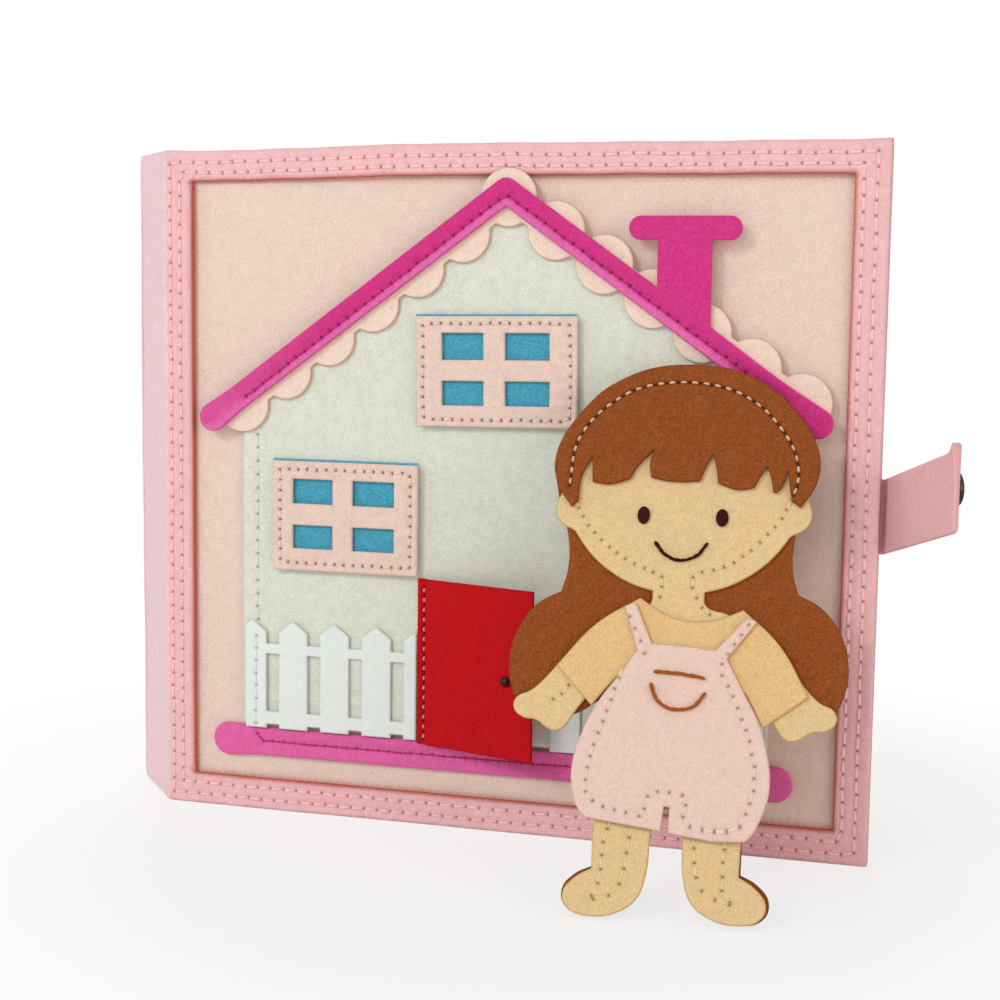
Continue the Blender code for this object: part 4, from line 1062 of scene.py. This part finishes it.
def door():
    """One piece of felt: its strip that is sewn down, the hinge, and the leaf that stands ajar."""
    to_front = FRONT.inverted()
    seam_low, seam_high = (to_front @ Vector(corner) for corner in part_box("door_seam"))
    axis = to_front @ axis_of("door_swing")
    loops, near, far = loops_of("door_panel", DOOR)
    leaf = smooth_loop(max(loops, key=len), 1.5 * MM)
    bottom, top = leaf[:, 1].min(), leaf[:, 1].max()
    half = (far - near) / 2
    bend_from, bend_to = DOOR_BEND
    heading = np.array((math.cos(DOOR_AJAR), -math.sin(DOOR_AJAR)))
    a = np.array((bend_from, (seam_low.y + seam_high.y) / 2 - axis.y))
    b = heading * bend_to
    span = np.hypot(*(b - a))
    path = [a + np.array((seam_low.x - axis.x - bend_from, 0.0)), a]
    for k in range(1, DOOR_STEPS + 1):
        path.append(between(a, np.array((span, 0.0)), b, heading * span, k / DOOR_STEPS))
    path.append(heading * DOOR_PATH_END)
    path = np.array(path)
    steps = np.diff(path, axis=0)
    lengths = np.hypot(steps[:, 0], steps[:, 1])
    reached = np.concatenate([[0.0], np.cumsum(lengths)])
    ways = steps / lengths[:, None]
    ways = np.vstack([ways[:1], (ways[:-1] + ways[1:]) / 2, ways[-1:]])
    bent = reached[DOOR_STEPS + 1]
    put = laid(FRONT)

    def wrap(across, depth, height):
        """Follows the path above, at a depth from it."""
        x = np.interp(across, reached, path[:, 0])
        y = np.interp(across, reached, path[:, 1])
        way = np.stack([np.interp(across, reached, ways[:, i]) for i in range(2)], axis=1)
        way /= np.hypot(way[:, 0], way[:, 1])[:, None]
        return put(x - way[:, 1] * depth + axis.x, y + way[:, 0] * depth + axis.y, height)

    to_leaf = bent - bend_to
    loop = cut_back(
        [tuple(point + np.array((to_leaf, 0.0))) for point in leaf],
        leaf[:, 0].min() + DOOR_LEAST + to_leaf, (0.0, bottom), (0.0, top),
    )
    bend = [
        (across, up) for across in np.linspace(0.4 * MM, bent + 1.5 * MM, 12)
        for up in np.arange(bottom + 1 * MM, top, 2.0 * MM)
    ]
    line = [(DOOR_ROW, bottom + 1.5 * MM), (DOOR_ROW, top - 1.5 * MM)]
    sheet = felt(
        "door_felt", None, RED, "door_felt", FRONT, loops=[loop], depths=(-half, half),
        grid=2.4 * MM, step=1.2 * MM, seed=15, wrap=wrap, extra=bend,
        rows=[Row(line, 3.0 * MM, dash=2.0 * MM, seed=41, groove=1.3)],
        stitched_to="front_cover", replaces=("door_seam", "door_panel"), thread=DASH_THREAD,
    )
    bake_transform(sheet)


def strap():
    """Two pieces that meet behind the fore-edge: the root, bent round the strap's swing, and the
    tip, which lies flat across the strap's second hinge, its upper corner curled.
    """
    to_front = FRONT.inverted()
    swing = to_front @ axis_of("strap_swing")
    tongue = swing.x - (to_front @ Vector(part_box("strap_tongue")[0])).x
    root_end = (STRAP.inverted() @ axis_of("strap_bend")).x
    turn = -STRAP_SWING
    radius = STRAP_TURN_RADIUS
    slack = radius * math.tan(turn / 2)
    arc = radius * turn
    put = laid(FRONT)

    def wrap_root(across, depth, height):
        """Lengths below the bend lie behind the cover, and those past it follow the strap."""
        gone = np.clip(across + arc / 2, 0.0, arc) / radius
        bending = (gone > 0) & (gone < turn)
        reach = radius + depth
        rest = across - arc / 2 + slack
        x = rest * math.cos(turn) + depth * math.sin(turn)
        y = depth * math.cos(turn) - rest * math.sin(turn)
        x = np.where(bending, reach * np.sin(gone) - slack, x)
        y = np.where(bending, reach * np.cos(gone) - radius, y)
        x = np.where(gone <= 0, across + arc / 2 - slack, x)
        return put(x + swing.x, np.where(gone <= 0, depth, y) + swing.y, height)

    def ends(at):
        """The strap's lower and upper edge, at a length from its swing."""
        middle = STRAP_HEIGHT + STRAP_RISE * max(at, 0.0)
        return (at, middle - STRAP_WIDTH / 2), (at, middle + STRAP_WIDTH / 2)

    near_low, near_high = ends(-tongue)
    mid_low, mid_high = ends(0.0)
    far_low, far_high = ends(STRAP_MEET)
    bend = [
        (across, up) for across in np.linspace(-1.6 * MM, 1.4 * MM, 11)
        for up in np.arange(mid_low[1] + 1.2 * MM, mid_high[1] - 0.5 * MM, 2.0 * MM)
    ]
    thick = (-STRAP_HALF, STRAP_HALF)
    piece = felt(
        "strap_root_felt", None, STRAP_PINK_LIT, "border_felt", FRONT,
        loops=[[near_low, mid_low, far_low, far_high, mid_high, near_high]], depths=thick,
        grid=2.4 * MM, step=1.4 * MM, uneven=0.1 * MM, seed=16, wrap=wrap_root, extra=bend,
        replaces=("strap_tongue", "strap_root"),
    )
    pivot = axis_of("strap_swing")
    way = STRAP.to_3x3() @ Vector((1.0, 0.0, 0.0))
    start, end = pivot - level_way(0.0) * 1.5 * MM, pivot + way * 1.2 * MM
    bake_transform(piece)
    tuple(start)
    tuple(end)

    tip = max(loops_of("strap_tip", TIP)[0], key=len)
    loop = cut_back(
        [(point.x + root_end, point.y) for point in tip], root_end + 3.0 * MM,
        *ends(STRAP_MEET + 0.15 * MM),
    )
    bend = [
        (root_end + across, STRAP_HEIGHT + STRAP_RISE * (root_end + across) + up)
        for across in np.linspace(-2.4 * MM, 2.4 * MM, 7)
        for up in np.arange(-STRAP_WIDTH / 2 + 1 * MM, STRAP_WIDTH / 2, 2.0 * MM)
    ]
    end_at = max(point[0] for point in loop)
    top_at = STRAP_HEIGHT + STRAP_RISE * end_at + STRAP_WIDTH / 2

    def curl(across, front, rear, height):
        """The upper corner at the end curls outwards, and stands up."""
        near_corner = (across - end_at) * 0.75 + (height - top_at) * 0.66 + CURL_REACH
        amount = np.clip(near_corner / CURL_REACH, 0.0, 1.2) ** 2
        front, rear = front - 1.4 * MM * amount, rear + 0.3 * MM * amount
        return across - 0.4 * MM * amount, front, rear, height + 2.6 * MM * amount

    piece = felt(
        "strap_tip_felt", None, STRAP_PINK_LIT, "border_felt", STRAP, loops=[loop], depths=thick,
        grid=2.2 * MM, step=1.2 * MM, seed=17, extra=bend, shape=curl, replaces=("strap_tip",),
    )
    pivot = axis_of("strap_bend")
    start, end = pivot - way * 2.0 * MM, pivot + way * 2.0 * MM
    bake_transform(piece)
    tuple(start)
    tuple(end)


# Inside the book


def inside_book():
    """Linings, leaves and their rolled tabs."""
    for body, place, grid in (
        ("front_cover", FRONT, 6 * MM), ("back_cover", BACK, 6 * MM), ("spine", SPINE, 5 * MM),
    ):
        side = body.split("_")[0]
        layer(f"{side}_lining", body, place, LINING, "lining_felt", grid)
    opening = math.degrees(2 * FOLD_ANGLE) - 180.0
    for number, share in enumerate((1 / 6, 1 / 3, 2 / 3, 5 / 6), 1):
        leaf = f"leaf_{number}"
        place = place_at(f"{leaf}_turn", math.radians(opening * share))
        for side in ("front", "back"):
            layer(
                f"{leaf}_{side}", leaf, place, CREAM, "leaf_felt", 7 * MM, step=3.5 * MM,
                uneven=0.05 * MM, seed=50 + number,
            )
        tab(leaf, place)


def tab(leaf, place):
    """The felt that is rolled along a leaf's edge and sewn into the spine: a little tapered at its
    ends, with a step where the roll laps over itself, and a slow unevenness."""
    low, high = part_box(f"{leaf}_tab")
    radius = min(high[0] - low[0], high[1] - low[1]) / 2 - 0.03 * MM
    sides, sections = 28, 60
    verts = []
    for k in range(sections + 1):
        up = low[2] + (high[2] - low[2]) * k / sections
        trim = 0.25 * MM if k in (0, sections) else 0.0
        for i in range(sides):
            turn = 2 * math.pi * i / sides
            lap = 0.12 * MM * (1 - i / sides)
            r = radius - trim - lap - 0.05 * MM * math.sin(up / (6 * MM) + turn)
            verts.append(place @ Vector((r * math.cos(turn), r * math.sin(turn), up)))
    faces = tube_faces(0, sections + 1, sides)
    piece = mesh_piece(f"{leaf}_tab_felt", np.array(verts), faces, CREAM, "leaf_felt")
    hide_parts(f"{leaf}_tab")
    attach(piece, leaf)


# The doll. Its rows of stitches are in millimetres across and up from between its soles

HAIR_ARC = (
    (-33.6, 119.6), (-33.3, 123.5), (-33.0, 129.5), (-31.6, 134.2), (-28.3, 139.7), (-23.3, 144.6),
    (-16.5, 149.0), (-8.3, 151.1), (-0.1, 151.5), (8.1, 150.5), (14.9, 147.9), (21.4, 143.2),
    (26.9, 136.5), (29.7, 131.5), (30.9, 126.4), (30.9, 122.2), (29.6, 118.0),
)
JAW_LEFT = (
    (-32.2, 115.9), (-28.1, 109.3), (-25.3, 106.0), (-20.9, 102.0), (-17.2, 99.4), (-12.0, 96.7),
    (-8.3, 95.2), (-5.5, 93.8), (-5.6, 90.5), (-5.9, 88.2),
)
JAW_RIGHT = (
    (29.5, 117.7), (26.8, 112.3), (24.7, 109.5), (21.8, 105.9), (18.4, 102.5), (14.0, 99.0),
    (10.0, 97.0), (3.9, 95.1), (2.9, 91.9), (5.4, 86.3), (8.3, 83.8),
)
LEG_ROWS = (
    ((-15.4, 27.0), (-16.5, 21.2), (-17.3, 18.2), (-17.3, 12.0), (-17.9, 8.1), (-19.3, 5.2)),
    (
        (-9.5, 25.5), (-10.3, 19.7), (-10.9, 15.6), (-11.1, 12.5), (-11.7, 9.1), (-14.1, 5.9),
        (-18.7, 4.5),
    ),
    ((7.1, 23.5), (7.5, 17.4), (8.0, 13.8), (9.5, 9.4), (12.7, 7.1), (17.4, 5.4)),
    ((15.3, 23.5), (15.4, 17.4), (15.4, 14.4), (15.3, 9.3), (17.6, 6.2)),
)
ARM_ROW = ((-29.6, 61.9), (-31.3, 59.3), (-33.9, 57.7))
ROMPER_ROWS = (
    ((-13.6, 81.6), (-11.7, 77.8), (-8.8, 71.4)),
    (
        (-14.6, 67.5), (-16.1, 62.3), (-17.8, 55.8), (-20.0, 49.2), (-21.7, 43.2), (-22.8, 36.3),
        (-22.3, 32.1), (-19.6, 29.5), (-13.7, 28.0), (-6.8, 26.9), (-6.3, 29.4), (-5.1, 32.9),
        (-1.5, 33.6), (2.2, 33.4), (4.9, 32.1), (4.3, 26.4), (6.9, 25.4), (10.9, 25.3),
        (17.6, 25.6), (20.3, 28.2), (22.3, 34.0), (22.7, 39.4), (21.7, 45.3), (19.9, 51.5),
        (17.6, 57.0), (14.9, 62.4), (12.4, 67.2), (13.2, 72.3), (14.8, 77.0), (16.6, 82.0),
    ),
)
# Its embroidered lines, in hundredths of its height
HUNDREDTH = 1.58 * MM
SMILE_shares = ((-4.6, 65.7), (-3.0, 63.6), (0.0, 62.4), (3.0, 63.6), (4.6, 65.7))
POCKET_LINE_shares = ((-4.3, 41.8), (0.0, 41.8), (4.4, 41.3))
POCKET_CURVE_shares = (
    (-4.7, 39.6), (-3.9, 37.3), (-2.0, 35.8), (0.3, 35.4), (2.7, 36.1), (3.9, 37.5), (4.7, 38.7),
)
DUNGAREES_ROLL = math.radians(2.25)
STRAP_LEAN = 2.4 * MM
STRAP_DROP = 1.4 * MM
HEM_DROP = 2.6 * MM


def cord(node, line, place, shift, material, slot, pitch):
    """Thick embroidery thread along a line, in short stitches, each from where the last ends."""
    points = [(across * HUNDREDTH + shift, up * HUNDREDTH) for across, up in line]
    back = place.inverted()
    depths = [(back @ vertex.co).y for vertex in frame["nodes"][node].data.vertices]
    middle = (min(depths) + max(depths)) / 2 + CORD_PROUD_share * CORD
    row = Row(curved(points, 6), pitch, groove=0.0, seed=70)
    piece = threads(
        f"{node}_thread", [row], lambda x, z: middle, 0.0, "doll", slot, laid(place), 70,
        radius=CORD, material=material, dip=0.12 * MM, apart=-0.3 * MM,
    )
    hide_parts(node)


def doll():
    """A cut-out doll of stacked felt shapes, sewn by hand."""

    def piece(node, material, slot, grid=2.6 * MM, step=1.1 * MM, uneven=0.1 * MM, **more):
        """One layer of the doll."""
        layer(node, "doll", DOLL, material, slot, grid, step=step, uneven=uneven, **more)

    def rows_of(paths, pitch, seed, groove=0.8, dash=None):
        """Rows of stitches along smooth lines through the places above."""
        made = []
        for i, path in enumerate(paths):
            path = curved([(across * MM, up * MM) for across, up in path])
            made.append(Row(path, pitch, groove=groove, dash=dash, seed=seed + i))
        return made

    def leaning(across, front, rear, height):
        """The shoulder strap on the right leans out a little, and the hem below it hangs lower."""
        lean = np.clip((height - 70 * MM) / (12 * MM), 0.0, 1.2) * (across > 6 * MM)
        low = np.clip((27.5 * MM - height) / (4.5 * MM), 0.0, 1.0)
        hang = np.clip((across + 1 * MM) / (14 * MM), 0.0, 1.0) * low
        return across + STRAP_LEAN * lean, front, rear, height - STRAP_DROP * lean - HEM_DROP * hang

    piece("doll_backing", HAIR, "hair_felt", 4 * MM)
    piece("doll_back_hair", HAIR, "hair_felt", 4 * MM)
    rows = rows_of((JAW_LEFT, JAW_RIGHT, ARM_ROW), 3.0 * MM, 62) + rows_of(LEG_ROWS, 4.0 * MM, 66)
    piece("doll_body", SKIN, "skin_felt", rows=rows, uneven=0.15 * MM)
    rows = rows_of((HAIR_ARC,), 3.3 * MM, 61, dash=2.5 * MM)
    piece("doll_fringe", HAIR, "hair_felt", rows=rows, uneven=0.15 * MM, thread=DASH_THREAD)
    piece("doll_shirt", SHIRT, "shirt_felt")
    rows = rows_of(ROMPER_ROWS, 3.3 * MM, 64, groove=0.7)
    piece("doll_dungarees", ROMPER, "dungarees_felt", rows=rows, uneven=0.15 * MM, shape=leaning)
    for side in ("left", "right"):
        piece(f"doll_eye_{side}", SATIN, "face_thread", 0.8 * MM, step=0.5 * MM, uneven=0.0)
    smile_shift, pocket_shift = -0.5 * HUNDREDTH, -0.95 * HUNDREDTH
    cord("doll_smile", SMILE_shares, DOLL, smile_shift, SATIN, "face_thread", 1.8 * MM)
    bib = DOLL @ Matrix.Rotation(DUNGAREES_ROLL, 4, "Y")
    for node, line in (("pocket_line", POCKET_LINE_shares), ("pocket_curve", POCKET_CURVE_shares)):
        cord(node, line, bib, pocket_shift, POCKET, "pocket_thread", 2.4 * MM)


def hard_pieces():
    """The pieces whose plain form is their real one keep it, with their material on."""
    for node, material in (
        ("front_board", BOARD), ("spine_board", BOARD), ("back_board", BOARD),
        ("snap_socket", METAL), ("snap_stud", METAL), ("door_knob", KNOB),
    ):
        mesh = frame["nodes"][node].data
        mesh.materials.clear()
        mesh.materials.append(material)


# The stage: a floor, a white surround, lamps and the camera

FLOOR_HALF = 6.0
FLOOR_UNDER = 0.05 * MM
WHITE_LIGHT = (1.0, 1.0, 1.0, 1.0)
LAMPS = (  # place, size, watts and tint
    ("key", (-0.65, -1.4, 0.95), 0.35, 7.3, (0.95, 1.0, 1.0)),
    ("fill", (0.1, -1.8, 0.7), 1.2, 5.7, (0.95, 1.0, 1.0)),
    ("warm", (1.3, -0.9, 0.42), 0.7, 4.8, (1.0, 0.77, 0.70)),
    ("side", (-1.7, -0.75, 0.6), 0.8, 3.0, (1.0, 1.0, 1.0)),
    ("rear", (-0.5, 1.3, 0.9), 1.2, 13.0, (0.96, 0.98, 1.0)),
)
LAMPS_AIM = Vector((0.0, -0.09, 0.10))
CAMERA_AT = (0.145172, -0.608054, 0.1646)
CAMERA_LOOK = Vector((-0.2717, 0.9560, -0.1117)).normalized()
CAMERA_RIGHT = Vector((0.9615, 0.2748, 0.0132))
CAMERA_LENS = 64.19
CAMERA_SENSOR = 36.0


def floor_card():
    """Matt white card: a dull, pale floor under the book. To the camera it fades to plain white
    away from the book, so that no edge shows."""
    made, tree, shader, spot = bare_material("matt_white_card", 0.9, 0.1)
    shader.inputs["Base Color"].default_value = linear("F4F3F2")
    middle = add_node(tree, "ShaderNodeMapping", {"Vector": spot, "Location": (0.0, 0.06, 0.0)})
    reach = add_node(tree, "ShaderNodeVectorMath", {0: middle.outputs[0]}, operation="LENGTH")
    fade = add_node(
        tree, "ShaderNodeMapRange",
        {"Value": reach.outputs["Value"], "From Min": 0.12, "From Max": 0.27, "To Min": 0.74,
         "To Max": 1.0},
        interpolation_type="SMOOTHSTEP",
    )
    seen = add_node(tree, "ShaderNodeLightPath")
    plain = add_node(
        tree, "ShaderNodeMath", {0: seen.outputs["Is Camera Ray"], 1: fade.outputs["Result"]},
        operation="MULTIPLY",
    )
    glow = add_node(tree, "ShaderNodeEmission", {"Color": WHITE_LIGHT, "Strength": 1.0})
    both = add_node(
        tree, "ShaderNodeMixShader", {0: plain.outputs[0], 1: shader.outputs[0], 2: glow.outputs[0]}
    )
    tree.links.new(both.outputs[0], tree.nodes["Material Output"].inputs["Surface"])
    return made


def surround():
    """A soft warm surround that lights the book, and is plain white to the camera and in gloss."""
    world = bpy.data.worlds.new("white_surround")
    world.use_nodes = True
    tree = world.node_tree
    path = add_node(tree, "ShaderNodeLightPath")
    through = add_node(
        tree, "ShaderNodeMath",
        {0: path.outputs["Is Camera Ray"], 1: path.outputs["Is Transmission Ray"]},
        operation="MAXIMUM",
    )
    seen = add_node(
        tree, "ShaderNodeMath", {0: through.outputs[0], 1: path.outputs["Is Glossy Ray"]},
        operation="MAXIMUM",
    )
    soft = tree.nodes["Background"]
    soft.inputs["Color"].default_value = (1.0, 0.93, 0.86, 1.0)
    soft.inputs["Strength"].default_value = 0.42
    plain = add_node(tree, "ShaderNodeBackground", {"Color": WHITE_LIGHT, "Strength": 1.0})
    mix = add_node(
        tree, "ShaderNodeMixShader", {0: seen.outputs[0], 1: soft.outputs[0], 2: plain.outputs[0]}
    )
    tree.links.new(mix.outputs[0], tree.nodes["World Output"].inputs["Surface"])
    return world


def stage():
    """A pale floor that runs out to white, a white surround, soft lamps and the camera."""
    scene = bpy.context.scene
    mesh = bpy.data.meshes.new("floor")
    corners = box_path(-FLOOR_HALF, -FLOOR_HALF, FLOOR_HALF, FLOOR_HALF)
    mesh.from_pydata([(x, y, 0) for x, y in corners], [], [(0, 1, 2, 3)])
    mesh.materials.append(floor_card())
    floor = bpy.data.objects.new("floor", mesh)
    floor.location.z = -FLOOR_UNDER
    scene.collection.objects.link(floor)
    scene.world = surround()

    for name, spot, across, watts, tint in LAMPS:
        light = bpy.data.lights.new(name, "AREA")
        light.shape = "SQUARE"
        light.size = across
        light.energy = watts
        light.color = tint
        lamp = bpy.data.objects.new(name, light)
        lamp.location = spot
        lamp.rotation_euler = (LAMPS_AIM - Vector(spot)).to_track_quat("-Z", "Y").to_euler()
        scene.collection.objects.link(lamp)

    right = (CAMERA_RIGHT - CAMERA_LOOK * CAMERA_RIGHT.dot(CAMERA_LOOK)).normalized()
    up = right.cross(CAMERA_LOOK)
    lens = bpy.data.cameras.new("photo_view")
    lens.lens = CAMERA_LENS
    lens.sensor_width = CAMERA_SENSOR
    camera = bpy.data.objects.new("photo_view", lens)
    turn = Matrix((right, up, -CAMERA_LOOK)).transposed().to_4x4()
    camera.matrix_world = Matrix.Translation(CAMERA_AT) @ turn
    scene.collection.objects.link(camera)
    scene.camera = camera
    scene.view_settings.view_transform = "Standard"


covers()
house()
door()
strap()
inside_book()
doll()
hard_pieces()
stage()
